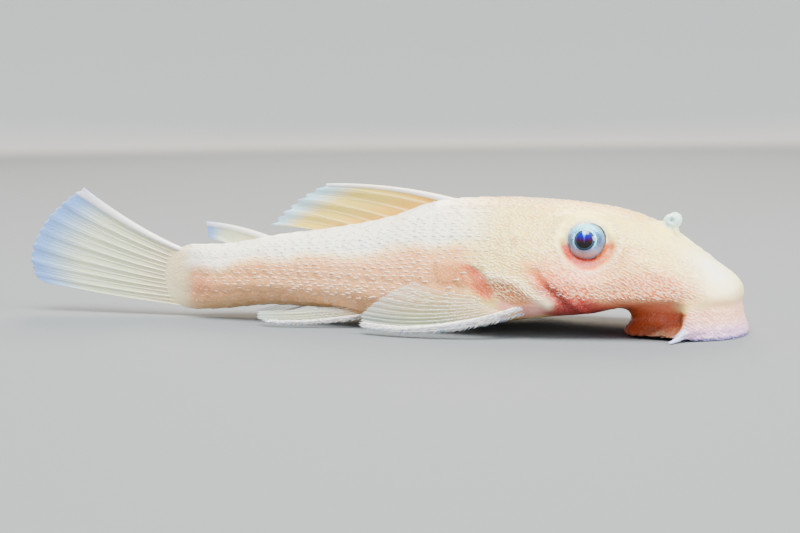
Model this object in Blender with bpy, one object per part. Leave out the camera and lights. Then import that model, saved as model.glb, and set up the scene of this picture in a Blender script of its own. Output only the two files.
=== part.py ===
"""Young pale bristlenose pleco at life size, standing on its sucker mouth and its paired fins.

The fish faces +X with its right side towards -Y, and the floor is at Z = 0. While it is modelled, the
snout tip is at X = 0. At the end the whole fish is shifted so that its box is centred on the origin.
"""

import math
from dataclasses import dataclass

import bmesh
import bpy
import numpy as np
from mathutils import Matrix, Vector

MM = 0.001

# Driving dimensions
GAP = 0.3 * MM
HEAD_LENGTH = 12.4 * MM
TRUNK_END = 26.6 * MM
STANDARD_LENGTH = 36.4 * MM
FIN_THICKNESS = 0.5 * MM
EYE_RADIUS = 1.25 * MM
EYE_PLACE = Vector((-8.2, 3.5, 5.5)) * MM
NOSTRIL_PLACE = Vector((-4.25, 0.62, 6.08)) * MM
NOSTRIL_RADII = Vector((0.48, 0.44, 0.9)) * MM
NOSTRIL_LEAN = 0.35
MOUTH_CENTRE = -3.15 * MM
MOUTH_HALF_LENGTH = 3.55 * MM
MOUTH_HALF_WIDTH = 4.0 * MM
MOUTH_HEIGHT = 1.5 * MM
MOUTH_SQUARENESS = 0.9
BARBEL_LENGTH = 2.1 * MM
BARBEL_ROOT_RADIUS = 0.62 * MM
BARBEL_TIP_RADIUS = 0.2 * MM
BARBEL_PLACE = Vector((-2.7, 4.4, 0.3)) * MM
BARBEL_SWEEP = math.radians(22)
RING_SIDES = 36
MERGE = 0.001 * MM

# The sucker mouth's half width at heights from the floor (0) to its top (1), as shares of the widest.
MOUTH_LEVELS = (0.0, 0.1, 0.25, 0.5, 0.75, 1.0)
MOUTH_SPREAD = (0.975, 1.0, 0.985, 0.94, 0.90, 0.88)

# Each row is one station of the body, in millimetres: distance behind the snout, half width, height of
# the back, of the belly and of the widest level, then how square the back and the belly are (2 is round).
HALF_WIDTH, BACK, BELLY, WIDEST, BACK_POWER, BELLY_POWER = range(1, 7)
STATIONS = (
    (0.0, 0.9, 2.60, 1.95, 2.25, 2.0, 2.0),
    (0.1, 1.7, 2.95, 1.84, 2.30, 2.0, 2.1),
    (0.4, 2.5, 3.30, 1.80, 2.35, 2.0, 2.3),
    (1.2, 3.4, 3.95, 1.80, 2.40, 2.0, 2.6),
    (2.4, 4.15, 4.84, 1.80, 2.50, 2.0, 2.8),
    (4.2, 4.75, 6.10, 1.80, 2.60, 2.0, 2.8),
    (5.9, 5.05, 6.90, 1.70, 2.55, 2.0, 2.6),
    (8.3, 5.35, 7.45, 1.15, 2.45, 2.05, 2.6),
    (10.7, 5.65, 7.70, 0.95, 2.35, 2.05, 2.8),
    (12.6, 5.55, 7.80, 0.70, 2.30, 2.0, 3.0),
    (15.0, 4.95, 7.85, 0.42, 2.35, 1.9, 3.2),
    (17.8, 4.45, 7.70, 0.42, 2.45, 1.85, 3.2),
    (21.5, 3.75, 6.55, 0.55, 2.55, 1.9, 2.9),
    (25.0, 3.0, 5.90, 0.88, 2.65, 1.95, 2.5),
    (29.0, 2.25, 5.35, 0.90, 2.70, 2.0, 2.3),
    (33.0, 1.60, 4.70, 0.50, 2.60, 2.1, 2.3),
    (36.4, 0.90, 4.62, 0.35, 2.55, 2.2, 2.3),
)


def smooth_values(places, values, at):
    """Reads a table of values with smooth curves between its rows, which never overshoot them."""
    places, values = np.asarray(places, float), np.asarray(values, float)
    steps = np.diff(places)
    rises = np.diff(values) / steps
    slopes = np.zeros(len(values))
    for i in range(1, len(values) - 1):
        if rises[i - 1] * rises[i] > 0:
            before, after = 2 * steps[i] + steps[i - 1], steps[i] + 2 * steps[i - 1]
            slopes[i] = (before + after) / (before / rises[i - 1] + after / rises[i])
    slopes[0], slopes[-1] = rises[0], rises[-1]
    at = min(max(at, places[0]), places[-1])
    i = min(int(np.searchsorted(places, at, side="right")) - 1, len(steps) - 1)
    t = (at - places[i]) / steps[i]
    return float(
        values[i] * (2 * t**3 - 3 * t**2 + 1)
        + values[i + 1] * (3 * t**2 - 2 * t**3)
        + slopes[i] * steps[i] * (t**3 - 2 * t**2 + t)
        + slopes[i + 1] * steps[i] * (t**3 - t**2)
    )


def body_measure(column, along):
    """One measure of the body at a distance behind the snout, in metres; the powers have no unit."""
    table = np.array(STATIONS)
    value = smooth_values(table[:, 0], table[:, column], along / MM)
    return value if column in (BACK_POWER, BELLY_POWER) else value * MM


def signed_power(value, power):
    """A power that keeps the sign of its base, for squared-off ellipses."""
    return math.copysign(abs(value) ** power, value)


def body_point(along, turn):
    """A point of the skin. Turn runs once round the body from the left side, over the back."""
    across, up = math.cos(2 * math.pi * turn), math.sin(2 * math.pi * turn)
    widest = body_measure(WIDEST, along)
    square = body_measure(BACK_POWER if up > 0 else BELLY_POWER, along)
    height = body_measure(BACK if up > 0 else BELLY, along) - widest
    return Vector(
        (
            -along,
            body_measure(HALF_WIDTH, along) * signed_power(across, 2 / square),
            widest + abs(height) * signed_power(up, 2 / square),
        )
    )


def placed_grid(mesh, columns, rows, place):
    """Makes a grid in the mesh and moves each of its points to place(u, v), with u and v from 0 to 1."""
    made = bmesh.ops.create_grid(mesh, x_segments=columns, y_segments=rows, size=0.5)
    for vert in made["verts"]:
        vert.co = place(vert.co.x + 0.5, vert.co.y + 0.5)


def close_tube(mesh):
    """Sews a rolled-up grid along its seam, caps its two ends and turns its faces outwards."""
    bmesh.ops.remove_doubles(mesh, verts=mesh.verts, dist=MERGE)
    bmesh.ops.holes_fill(mesh, edges=mesh.edges, sides=0)
    bmesh.ops.recalc_face_normals(mesh, faces=mesh.faces)


def material(name, colour, roughness):
    """A plain finish with the part's colour."""
    made = bpy.data.materials.new(name)
    made.use_nodes = True
    shader = made.node_tree.nodes["Principled BSDF"]
    shader.inputs["Base Color"].default_value = (*colour, 1)
    shader.inputs["Roughness"].default_value = roughness
    shader.inputs["Metallic"].default_value = 0
    return made


def add_object(name, mesh, finish=None, helper=False):
    """Turns a bmesh into an object of the fish. A helper only cuts others."""
    data = bpy.data.meshes.new(name)
    mesh.to_mesh(data)
    mesh.free()
    made = bpy.data.objects.new(name, data)
    bpy.context.scene.collection.objects.link(made)
    made.parent = bpy.data.objects["fish"]
    if finish:
        data.materials.append(finish)
    if helper:
        made.hide_render = True
        made.display_type = "WIRE"
    else:
        data.shade_smooth()
        data.set_sharp_from_angle(angle=math.radians(40))
    return made


def cut(target, cutter):
    """Takes the cutter's space out of the target."""
    modifier = target.modifiers.new("clear of " + cutter.name, "BOOLEAN")
    modifier.operation = "DIFFERENCE"
    modifier.object = cutter


def grown(mesh, distance):
    """Moves every face of a mesh outwards, for a cutter that leaves a gap."""
    mesh.normal_update()
    moves = [(vert, vert.normal.copy()) for vert in mesh.verts]
    for vert, normal in moves:
        vert.co += normal * distance * vert.calc_shell_factor()
    return mesh


def body_length(start, end, rings, crowding=1.0):
    """A length of the body between two square cuts. Crowding above 1 puts more rings at its start."""
    mesh = bmesh.new()

    def place(turn, share):
        return body_point(start + (end - start) * share**crowding, turn % 1.0)

    placed_grid(mesh, RING_SIDES, rings, place)
    close_tube(mesh)
    return mesh


def mouth_mesh():
    """The sucker mouth: a bell that narrows under the snout and flares to a flat rim on the floor."""
    mesh = bmesh.new()

    def place(turn, share):
        angle = 2 * math.pi * (turn % 1.0)
        wide = smooth_values(MOUTH_LEVELS, MOUTH_SPREAD, share)
        forwards = signed_power(math.cos(angle), MOUTH_SQUARENESS)
        sideways = signed_power(math.sin(angle), MOUTH_SQUARENESS)
        return Vector(
            (
                MOUTH_CENTRE + MOUTH_HALF_LENGTH * wide * forwards,
                MOUTH_HALF_WIDTH * wide * sideways,
                MOUTH_HEIGHT * share,
            )
        )

    placed_grid(mesh, RING_SIDES, 8, place)
    close_tube(mesh)
    return mesh


@dataclass
class Fin:
    """A fan of rays. Each ray runs from the line of roots to the line of tips, and may bow."""

    name: str
    rays: int
    roots: tuple
    tips: tuple
    bow: tuple = (0, 0, 0)
    notch: float = 0.25 * MM
    rows: int = 6
    stout: float = 1.5

    def line(self, points, share):
        """A smooth line through points given as (share, along, across, height), in millimetres."""
        table = np.array(points, float)
        along, across, height = (
            smooth_values(table[:, 0], table[:, i], share) for i in (1, 2, 3)
        )
        return Vector((-along, across, height)) * MM

    def place(self, u, v):
        """The middle of the fin: u counts across the rays and v runs out along them."""
        root, tip = self.line(self.roots, u), self.line(self.tips, u)
        step = u * 2 * (self.rays - 1)
        between = abs(step - 2 * round(step / 2))
        reach = tip - root
        reach *= 1 - between * self.notch / reach.length
        bend = Vector(self.bow) * MM * 4 * v * (1 - v) * (1 - 0.7 * u)
        return root + reach * v + bend

    def thickness(self, u, v):
        """Share of the stoutest thickness, which is at the root of the first ray."""
        step = u * 2 * (self.rays - 1)
        between = abs(step - 2 * round(step / 2))
        first = max(0.0, 1 - step / 1.5)
        ray = 1 + (self.stout - 1) * (1 - v) * (0.45 + 0.55 * first)
        ray += 0.2 * first * (self.stout > 1)
        return (ray * (1 - between) + between) / (self.stout + 0.2)

    def build(self, finish, side=1):
        """The solid fin. Side is 1 as given, and -1 mirrored to the other flank."""
        mesh = bmesh.new()
        layer = mesh.verts.layers.deform.verify()
        made = bmesh.ops.create_grid(
            mesh,
            x_segments=2 * (self.rays - 1),
            y_segments=self.rows,
            size=0.5,
        )
        for vert in made["verts"]:
            u, v = vert.co.x + 0.5, vert.co.y + 0.5
            vert[layer][0] = self.thickness(u, v)
            vert.co = self.place(u, v)
            vert.co.y *= side
        bmesh.ops.recalc_face_normals(mesh, faces=mesh.faces)
        fin = add_object(self.name, mesh, finish)
        fin.vertex_groups.new(name="thickness")
        shell = fin.modifiers.new("thickness", "SOLIDIFY")
        shell.thickness = FIN_THICKNESS * (self.stout + 0.2)
        shell.offset = 0
        shell.vertex_group = "thickness"
        shell.use_even_offset = False
        return fin


DORSAL = Fin(
    "dorsal_fin",
    rays=8,
    roots=((0, 16.7, 0, 7.6), (0.5, 21.2, 0, 6.1), (1, 24.8, 0, 5.4)),
    tips=(
        (0, 25.6, 0, 8.6),
        (0.3, 27.0, 0, 7.85),
        (0.6, 28.1, 0, 7.1),
        (0.85, 28.9, 0, 6.4),
        (1, 29.4, 0, 5.95),
    ),
    bow=(0, 0, 0.3),
)
ADIPOSE = Fin(
    "adipose_fin",
    rays=2,
    roots=((0, 28.8, 0, 5.0), (1, 31.6, 0, 4.5)),
    tips=((0, 33.9, 0, 6.15), (1, 33.7, 0, 5.0)),
    bow=(0, 0, 0.2),
    notch=0.0,
    rows=5,
    stout=1.3,
)
CAUDAL = Fin(
    "caudal_fin",
    rays=16,
    roots=((0, 35.4, 0, 4.45), (0.5, 36.1, 0, 2.5), (1, 35.6, 0, 0.6)),
    tips=(
        (0, 42.7, 0, 8.25),
        (0.2, 44.3, 0, 7.2),
        (0.45, 46.0, 0, 5.5),
        (0.7, 46.8, 0, 3.6),
        (0.9, 46.5, 0, 2.3),
        (1, 45.8, 0, 1.9),
    ),
    bow=(0, 0, -0.3),
    rows=7,
)
ANAL = Fin(
    "anal_fin",
    rays=5,
    roots=((0, 25.6, 0, 1.25), (1, 27.6, 0, 1.25)),
    tips=((0, 29.3, 0, 0.28), (1, 30.6, 0, 0.5)),
    notch=0.15 * MM,
    rows=4,
    stout=1.2,
)


def pectoral(side_name):
    """The pectoral fin folded back along the flank, its stout spine outermost and on the floor."""
    return Fin(
        "pectoral_fin_" + side_name,
        rays=8,
        roots=((0, 10.8, 5.15, 1.85), (1, 13.3, 4.6, 2.25)),
        tips=(
            (0, 21.2, 5.5, 0.45),
            (0.3, 21.4, 5.3, 1.0),
            (0.7, 20.3, 5.0, 2.1),
            (1, 18.3, 4.9, 3.15),
        ),
        bow=(0, 1.2, -0.65),
        rows=9,
        stout=1.8,
    )


def pelvic(side_name):
    """The pelvic fin trailing beside the belly, its first ray outermost and on the floor."""
    return Fin(
        "pelvic_fin_" + side_name,
        rays=6,
        roots=((0, 21.3, 2.5, 0.85), (1, 22.6, 2.4, 1.3)),
        tips=(
            (0, 28.0, 3.9, 0.3),
            (0.5, 28.9, 3.5, 0.5),
            (1, 29.1, 2.95, 0.85),
        ),
        bow=(0, 0.35, -0.2),
        rows=7,
        stout=1.5,
    )


def eyeball_mesh(side, radius):
    """A ball about the middle of one eye, for the eye itself or for the socket that holds it."""
    mesh = bmesh.new()
    place = Matrix.Translation((EYE_PLACE.x, side * EYE_PLACE.y, EYE_PLACE.z))
    bmesh.ops.create_uvsphere(
        mesh, u_segments=20, v_segments=12, radius=radius, matrix=place
    )
    return mesh


def nostril(side_name, side, finish):
    """The hood of skin that shelters the nostril: a small dome that leans forwards."""
    mesh = bmesh.new()
    lean = Matrix.Shear("XY", 4, (NOSTRIL_LEAN, 0))
    place = Matrix.Translation((NOSTRIL_PLACE.x, side * NOSTRIL_PLACE.y, NOSTRIL_PLACE.z))
    bmesh.ops.create_uvsphere(
        mesh,
        u_segments=14,
        v_segments=9,
        radius=1,
        matrix=place @ lean @ Matrix.Diagonal((*NOSTRIL_RADII, 1)),
    )
    return add_object("nostril_hood_" + side_name, mesh, finish)


def barbel(side_name, side, finish):
    """The short feeler at the corner of the mouth, lying on the floor and pointing out and back."""
    mesh = bmesh.new()
    aim = Vector((-math.sin(BARBEL_SWEEP), side * math.cos(BARBEL_SWEEP), -0.1))
    middle = Matrix.Translation((BARBEL_PLACE.x, side * BARBEL_PLACE.y, BARBEL_PLACE.z))
    bmesh.ops.create_cone(
        mesh,
        cap_ends=True,
        segments=14,
        radius1=BARBEL_ROOT_RADIUS,
        radius2=BARBEL_TIP_RADIUS,
        depth=BARBEL_LENGTH,
        matrix=middle @ aim.to_track_quat("Z", "Y").to_matrix().to_4x4(),
    )
    return add_object("barbel_" + side_name, mesh, finish)


def floor_cutter():
    """Everything under the floor, so that what reaches the floor ends in a small flat."""
    mesh = bmesh.new()
    deep, wide = 4 * MM, 80 * MM
    bmesh.ops.create_cube(
        mesh,
        size=1,
        matrix=Matrix.Translation((-20 * MM, 0, -deep / 2))
        @ Matrix.Diagonal((wide, wide, deep, 1)),
    )
    return add_object("under_the_floor", mesh, helper=True)


def clear_scene():
    """Takes everything out of the scene."""
    for thing in list(bpy.data.objects):
        bpy.data.objects.remove(thing)


def centre_on_floor():
    """Shifts the fish so that the middle of its box stands over the origin."""
    bpy.context.view_layer.update()
    graph = bpy.context.evaluated_depsgraph_get()
    ends = []
    for thing in bpy.data.objects:
        if thing.type == "MESH" and not thing.hide_render:
            mesh = thing.evaluated_get(graph).to_mesh()
            ends += [vert.co.x for vert in mesh.vertices]
    bpy.data.objects["fish"].location.x = -(min(ends) + max(ends)) / 2


def main():
    """Builds the whole fish."""
    clear_scene()
    fish = bpy.data.objects.new("fish", None)
    bpy.context.scene.collection.objects.link(fish)

    skin = material("skin", (0.93, 0.80, 0.70), 0.45)
    fin_skin = material("fin", (0.86, 0.88, 0.86), 0.4)
    lips = material("lips", (0.86, 0.74, 0.74), 0.4)
    eyeball = material("eye", (0.30, 0.45, 0.70), 0.1)

    guard = add_object(
        "round_the_body",
        grown(body_length(0, STANDARD_LENGTH, 34, 1.35), GAP),
        helper=True,
    )
    mouth_guard = add_object("round_the_mouth", grown(mouth_mesh(), GAP), helper=True)
    floor = floor_cutter()

    head = add_object(
        "head", body_length(0, HEAD_LENGTH - GAP / 2, 18, 1.7), skin
    )
    add_object("trunk", body_length(HEAD_LENGTH + GAP / 2, TRUNK_END - GAP / 2, 10), skin)
    add_object("tail", body_length(TRUNK_END + GAP / 2, STANDARD_LENGTH, 7), skin)
    add_object("mouth", mouth_mesh(), lips)

    for fin in (DORSAL, ADIPOSE, CAUDAL, ANAL):
        made = fin.build(fin_skin)
        cut(made, guard)
        cut(made, floor)

    for side_name, side in (("right", -1), ("left", 1)):
        add_object("eye_" + side_name, eyeball_mesh(side, EYE_RADIUS), eyeball)
        socket = eyeball_mesh(side, EYE_RADIUS + GAP)
        cut(head, add_object("socket_" + side_name, socket, helper=True))
        cut(nostril(side_name, side, lips), guard)
        feeler = barbel(side_name, side, lips)
        cut(feeler, mouth_guard)
        cut(feeler, floor)
        for fin in (pectoral(side_name), pelvic(side_name)):
            made = fin.build(fin_skin, side)
            cut(made, guard)
            cut(made, floor)

    centre_on_floor()


main()
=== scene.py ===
"""Looks for a young pale bristlenose pleco: one skin, two eyes, eight fins and a coat of tiny spines.

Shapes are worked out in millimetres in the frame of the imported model: +X towards the snout, the right
side towards -Y, the floor at Z = 0. A distance called "along" runs backwards from the tip of the snout.
"""

import logging
import math
from dataclasses import dataclass, field
from enum import Enum

import bmesh
import bpy
import numpy as np
from bpy.types import Material, Mesh, Node, NodeSocket, NodeTree, Object
from mathutils import Matrix, Vector
from mathutils.bvhtree import BVHTree
from mathutils.kdtree import KDTree
from numpy.random import Generator


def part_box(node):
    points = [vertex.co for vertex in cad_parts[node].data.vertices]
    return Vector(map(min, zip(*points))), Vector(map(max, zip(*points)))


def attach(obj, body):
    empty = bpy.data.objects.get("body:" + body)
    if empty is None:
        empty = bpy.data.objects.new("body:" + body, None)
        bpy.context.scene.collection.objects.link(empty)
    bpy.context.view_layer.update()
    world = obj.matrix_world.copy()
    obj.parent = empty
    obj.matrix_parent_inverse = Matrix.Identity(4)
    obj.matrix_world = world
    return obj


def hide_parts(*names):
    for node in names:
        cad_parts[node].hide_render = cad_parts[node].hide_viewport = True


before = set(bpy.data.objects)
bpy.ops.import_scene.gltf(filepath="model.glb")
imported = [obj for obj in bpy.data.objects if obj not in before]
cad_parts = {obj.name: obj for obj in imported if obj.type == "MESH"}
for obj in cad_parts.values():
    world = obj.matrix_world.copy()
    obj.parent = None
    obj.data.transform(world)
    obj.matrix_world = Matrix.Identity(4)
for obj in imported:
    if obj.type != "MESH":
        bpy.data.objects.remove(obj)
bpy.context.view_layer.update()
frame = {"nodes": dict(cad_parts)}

logging.basicConfig(level=logging.INFO, format="%(message)s")
LOG = logging.getLogger("pleco")

MM = 0.001
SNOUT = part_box("head")[1].x / MM
RING_NODES = ("head", "trunk", "tail")
SKIN_NODES = RING_NODES + ("mouth", "barbel_right", "barbel_left", "nostril_hood_right", "nostril_hood_left")
TAIL_ROOT = 36.4
PLATE_PITCH = 1.2
PLATE_ROWS = (1.57, 1.13, 0.62, 0.10, -0.45, -1.0)
PLATE_CURVE = 0.3
PLATES_START = 13.6
PLATES_END = 35.6
DASHES_END = 34.2
MAP_LENGTH = 40.0

Array = np.ndarray
Triple = tuple[float, float, float]
Colour = Triple
Feed = NodeSocket | float | Colour | str


class Side(Enum):
    """The two flanks, as the sign of Y."""

    RIGHT = -1
    LEFT = 1

    @property
    def word(self) -> str:
        """The side's name as pieces use it."""
        return self.name.lower()


def on_side(place: Triple, side: Side) -> Array:
    """Turns a place given as along, across and height into one on a side of the model."""
    along, across, height = place
    return np.array((SNOUT - along, side.value * across, height))


def linear(code: str) -> Colour:
    """Turns a colour as painters write it into the values that a shader takes."""
    shares = [int(code[i : i + 2], 16) / 255 for i in (0, 2, 4)]
    return tuple(c / 12.92 if c <= 0.04045 else ((c + 0.055) / 1.055) ** 2.4 for c in shares)


def ease(value: Array, low: float, high: float) -> Array:
    """Goes softly from 0 at low to 1 at high."""
    share = np.clip((value - low) / (high - low), 0, 1)
    return share * share * (3 - 2 * share)


def hump(value: Array, middle: float, width: float) -> Array:
    """A soft bell that is 1 in the middle and near 0 at one and a half widths from it."""
    return np.exp(-(((value - middle) / width) ** 2))


@dataclass(frozen=True)
class SmoothCurve:
    """A smooth line through a few values that never overshoots them.

    Attributes:
        places: Where the values hold, in rising order.
        values: The value at each place.
    """

    places: tuple[float, ...]
    values: tuple[float, ...]

    def at(self, where: Array) -> Array:
        """Reads the curve.

        Args:
            where: The places to read it at.

        Returns:
            The values there.
        """
        x, y = np.asarray(self.places, float), np.asarray(self.values, float)
        steps = np.diff(x)
        rises = np.diff(y) / steps
        slopes = np.zeros(len(y))
        slopes[0], slopes[-1] = rises[0], rises[-1]
        for i in range(1, len(y) - 1):
            if rises[i - 1] * rises[i] > 0:
                before, after = 2 * steps[i] + steps[i - 1], steps[i] + 2 * steps[i - 1]
                slopes[i] = (before + after) / (before / rises[i - 1] + after / rises[i])
        where = np.clip(np.asarray(where, float), x[0], x[-1])
        i = np.clip(np.searchsorted(x, where, side="right") - 1, 0, len(steps) - 1)
        t = (where - x[i]) / steps[i]
        return (
            y[i] * (2 * t**3 - 3 * t**2 + 1)
            + y[i + 1] * (3 * t**2 - 2 * t**3)
            + slopes[i] * steps[i] * (t**3 - 2 * t**2 + t)
            + slopes[i + 1] * steps[i] * (t**3 - t**2)
        )


@dataclass(frozen=True)
class Track:
    """A bent line on the flank, such as a groove or the edge of a patch.

    Attributes:
        points: Its corners as distance behind the snout and height, in millimetres.
    """

    points: tuple[tuple[float, float], ...]

    def measure(self, along: Array, height: Array) -> tuple[Array, Array]:
        """Measures how far points lie from the line.

        Args:
            along: Distances behind the snout.
            height: Heights over the floor.

        Returns:
            The distances to the line, and how far along it the nearest place is, from 0 to 1.
        """
        best = np.full(len(along), 1e9)
        share = np.zeros(len(along))
        spots = np.array(self.points)
        for i, (start, end) in enumerate(zip(spots, spots[1:])):
            run = end - start
            t = ((along - start[0]) * run[0] + (height - start[1]) * run[1]) / (run @ run)
            t = np.clip(t, 0, 1)
            gap = np.hypot(along - start[0] - t * run[0], height - start[1] - t * run[1])
            nearer = gap < best
            best = np.where(nearer, gap, best)
            share = np.where(nearer, (i + t) / (len(spots) - 1), share)
        return best, share


class SoftNoise:
    """Smooth random values in space, the same at each run."""

    SIDE = 32

    def __init__(self, seed: int) -> None:
        """Fills a lattice with seeded values.

        Args:
            seed: Which pattern it is.
        """
        self.lattice = np.random.default_rng(seed).random((self.SIDE,) * 3)

    def at(self, points: Array, size: float) -> Array:
        """Reads the noise.

        Args:
            points: Places, one per row.
            size: How far apart the random values lie.

        Returns:
            Values from -1 to 1.
        """
        scaled = points / size
        base = np.floor(scaled).astype(int)
        t = scaled - base
        t = t * t * (3 - 2 * t)
        total = np.zeros(len(points))
        for corner in np.ndindex(2, 2, 2):
            index = (base + corner) % self.SIDE
            weight = np.prod(np.where(np.array(corner) == 1, t, 1 - t), axis=1)
            total += weight * self.lattice[index[:, 0], index[:, 1], index[:, 2]]
        return total * 2 - 1


def mesh_points(mesh: Mesh) -> Array:
    """Reads a mesh's points, one per row."""
    points = np.empty(len(mesh.vertices) * 3)
    mesh.vertices.foreach_get("co", points)
    return points.reshape(-1, 3)


def set_attribute(mesh: Mesh, name: str, values: Array) -> None:
    """Keeps a value or a colour for each point of a mesh.

    Args:
        mesh: The mesh that gets the attribute.
        name: What materials call it.
        values: One number per point, or one row of red, green and blue.
    """
    if values.ndim == 1:
        mesh.attributes.new(name, "FLOAT", "POINT").data.foreach_set("value", values)
        return
    rows = np.ones((len(values), 4))
    rows[:, :3] = values
    mesh.attributes.new(name, "FLOAT_COLOR", "POINT").data.foreach_set("color", rows.ravel())


def add_piece(name: str, mesh: Mesh, finish: Material) -> Object:
    """Puts a mesh given in metres into the scene as a smooth piece.

    Args:
        name: The piece's name.
        mesh: Its shape.
        finish: Its material.

    Returns:
        The new object.
    """
    mesh.name = name
    mesh.materials.clear()
    mesh.materials.append(finish)
    mesh.shade_smooth()
    piece = bpy.data.objects.new(name, mesh)
    bpy.context.scene.collection.objects.link(piece)
    return piece


# Materials


class Graph:
    """Adds nodes to one node tree and links them."""

    def __init__(self, tree: NodeTree) -> None:
        """Keeps the tree.

        Args:
            tree: The tree that nodes are added to.
        """
        self.tree = tree

    def add(self, kind: str, inputs: dict | None = None, **settings: str) -> Node:
        """Adds one node.

        Args:
            kind: The node's type, without the words ShaderNode.
            inputs: Values or sockets for its inputs, by name or number.
            **settings: Its other properties.

        Returns:
            The node.
        """
        node = self.tree.nodes.new("ShaderNode" + kind)
        for name, value in settings.items():
            setattr(node, name, value)
        self.wire(node, inputs or {})
        return node

    def wire(self, node: Node, inputs: dict) -> None:
        """Feeds several inputs of a node, by name or number."""
        for name, value in inputs.items():
            self.feed(node.inputs[name], value)

    def feed(self, socket: NodeSocket, value: Feed) -> None:
        """Links a socket into an input, or sets the input to a value.

        Args:
            socket: The input.
            value: A socket, a number, a vector, or a colour as numbers or as hex digits.
        """
        if isinstance(value, str):
            value = linear(value)
        if isinstance(value, NodeSocket):
            self.tree.links.new(value, socket)
        elif socket.type == "RGBA":
            socket.default_value = (*value[:3], 1)
        else:
            socket.default_value = value

    def math(self, operation: str, first: Feed, second: Feed = 0.0) -> NodeSocket:
        """Does one sum on values or sockets and returns the result's socket."""
        node = self.add("Math", {0: first}, operation=operation)
        if len(node.inputs) > 1:
            self.feed(node.inputs[1], second)
        return node.outputs[0]

    def times(self, first: Feed, second: Feed) -> NodeSocket:
        """Multiplies two values or sockets and returns the result's socket."""
        return self.math("MULTIPLY", first, second)

    def span(
        self, value: Feed, low: float, high: float, start: float = 0.0, end: float = 1.0
    ) -> NodeSocket:
        """Goes softly from start to end while the value goes from low to high.

        Args:
            value: A socket.
            low: Where the result is start.
            high: Where the result is end.
            start: The first result.
            end: The last result.

        Returns:
            The result's socket.
        """
        flip = low > high
        limits = (high, low, end, start) if flip else (low, high, start, end)
        names = ("From Min", "From Max", "To Min", "To Max")
        node = self.add("MapRange", dict(zip(names, limits)), interpolation_type="SMOOTHSTEP")
        self.feed(node.inputs["Value"], value)
        return node.outputs[0]

    def mix(self, share: Feed, first: Feed, second: Feed, blend: str = "MIX") -> NodeSocket:
        """Mixes two colours.

        Args:
            share: How much of the second, from 0 to 1.
            first: A colour or a socket.
            second: A colour or a socket.
            blend: How they mix.

        Returns:
            The mixed colour's socket.
        """
        node = self.add("Mix", data_type="RGBA", blend_type=blend)
        for index, value in ((0, share), (6, first), (7, second)):
            self.feed(node.inputs[index], value)
        return node.outputs[2]

    def attribute(self, name: str, output: str = "Fac") -> NodeSocket:
        """Reads a value or a colour that the mesh keeps for its points."""
        return self.add("Attribute", attribute_name=name).outputs[output]

    def place(self) -> NodeSocket:
        """The place on the piece, in metres."""
        return self.add("TexCoord").outputs["Object"]


@dataclass(frozen=True)
class Effect:
    """A shader node group that several materials share.

    Attributes:
        name: The group's name.
        inputs: Its number inputs with their first values.
        outputs: Its outputs, each a number.
    """

    name: str
    inputs: tuple[tuple[str, float], ...]
    outputs: tuple[str, ...]

    def start(self) -> tuple[Graph, Node, Node]:
        """Makes the empty group with its sockets.

        Returns:
            The graph to fill, the node of its inputs and the node of its outputs.
        """
        tree = bpy.data.node_groups.new(self.name, "ShaderNodeTree")
        for name, value in self.inputs:
            socket = tree.interface.new_socket(name, in_out="INPUT", socket_type="NodeSocketFloat")
            socket.default_value = value
        for name in self.outputs:
            tree.interface.new_socket(name, in_out="OUTPUT", socket_type="NodeSocketFloat")
        return Graph(tree), tree.nodes.new("NodeGroupInput"), tree.nodes.new("NodeGroupOutput")


def granule_effect() -> NodeTree:
    """Makes the group for tiny packed granules with grooves between them.

    Returns:
        The group. Height is 1 on the granules' tops, and Groove is 1 between them.
    """
    graph, source, result = Effect(
        "Granules", (("Density", 5000.0), ("Spread", 0.12)), ("Height", "Groove")
    ).start()
    lean = graph.add("Mapping", {"Vector": graph.place(), "Rotation": (0, math.radians(-28), 0)})
    stretch = graph.add("Mapping", {"Vector": lean.outputs[0], "Scale": (0.6, 0.85, 1.0)})
    fine = graph.times(source.outputs["Density"], 0.5)
    maze = graph.add(
        "TexGabor",
        {"Vector": stretch.outputs[0], "Scale": fine, "Frequency": 2.0, "Anisotropy": 0.0},
        gabor_type="3D",
    )
    breaks = graph.add("TexNoise", {"Vector": stretch.outputs[0], "Scale": source.outputs["Density"]})
    low = graph.math("SUBTRACT", 0.5, source.outputs["Spread"])
    high = graph.math("ADD", 0.5, source.outputs["Spread"])
    ridges = graph.add(
        "MapRange",
        {"Value": maze.outputs["Value"], "From Min": low, "From Max": high},
        interpolation_type="SMOOTHSTEP",
    )
    broken = graph.span(breaks.outputs["Fac"], 0.38, 0.58)
    height = graph.times(ridges.outputs[0], graph.math("ADD", 0.5, graph.times(broken, 0.5)))
    graph.feed(result.inputs["Height"], height)
    graph.feed(result.inputs["Groove"], graph.math("SUBTRACT", 1.0, height))
    return graph.tree


def mottle_effect() -> NodeTree:
    """Makes the group for the soft clouds and fine specks of living colour.

    Returns:
        The group. Cloud and Speck go from 0 to 1.
    """
    graph, source, result = Effect(
        "Mottle", (("Cloud Density", 700.0), ("Speck Density", 9000.0)), ("Cloud", "Speck")
    ).start()
    place = graph.place()
    for name, detail, low, high in (("Cloud", 4.0, 0.35, 0.65), ("Speck", 2.0, 0.40, 0.70)):
        noise = graph.add(
            "TexNoise",
            {"Vector": place, "Scale": source.outputs[name + " Density"], "Detail": detail},
        )
        graph.feed(result.inputs[name], graph.span(noise.outputs["Fac"], low, high))
    return graph.tree


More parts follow.
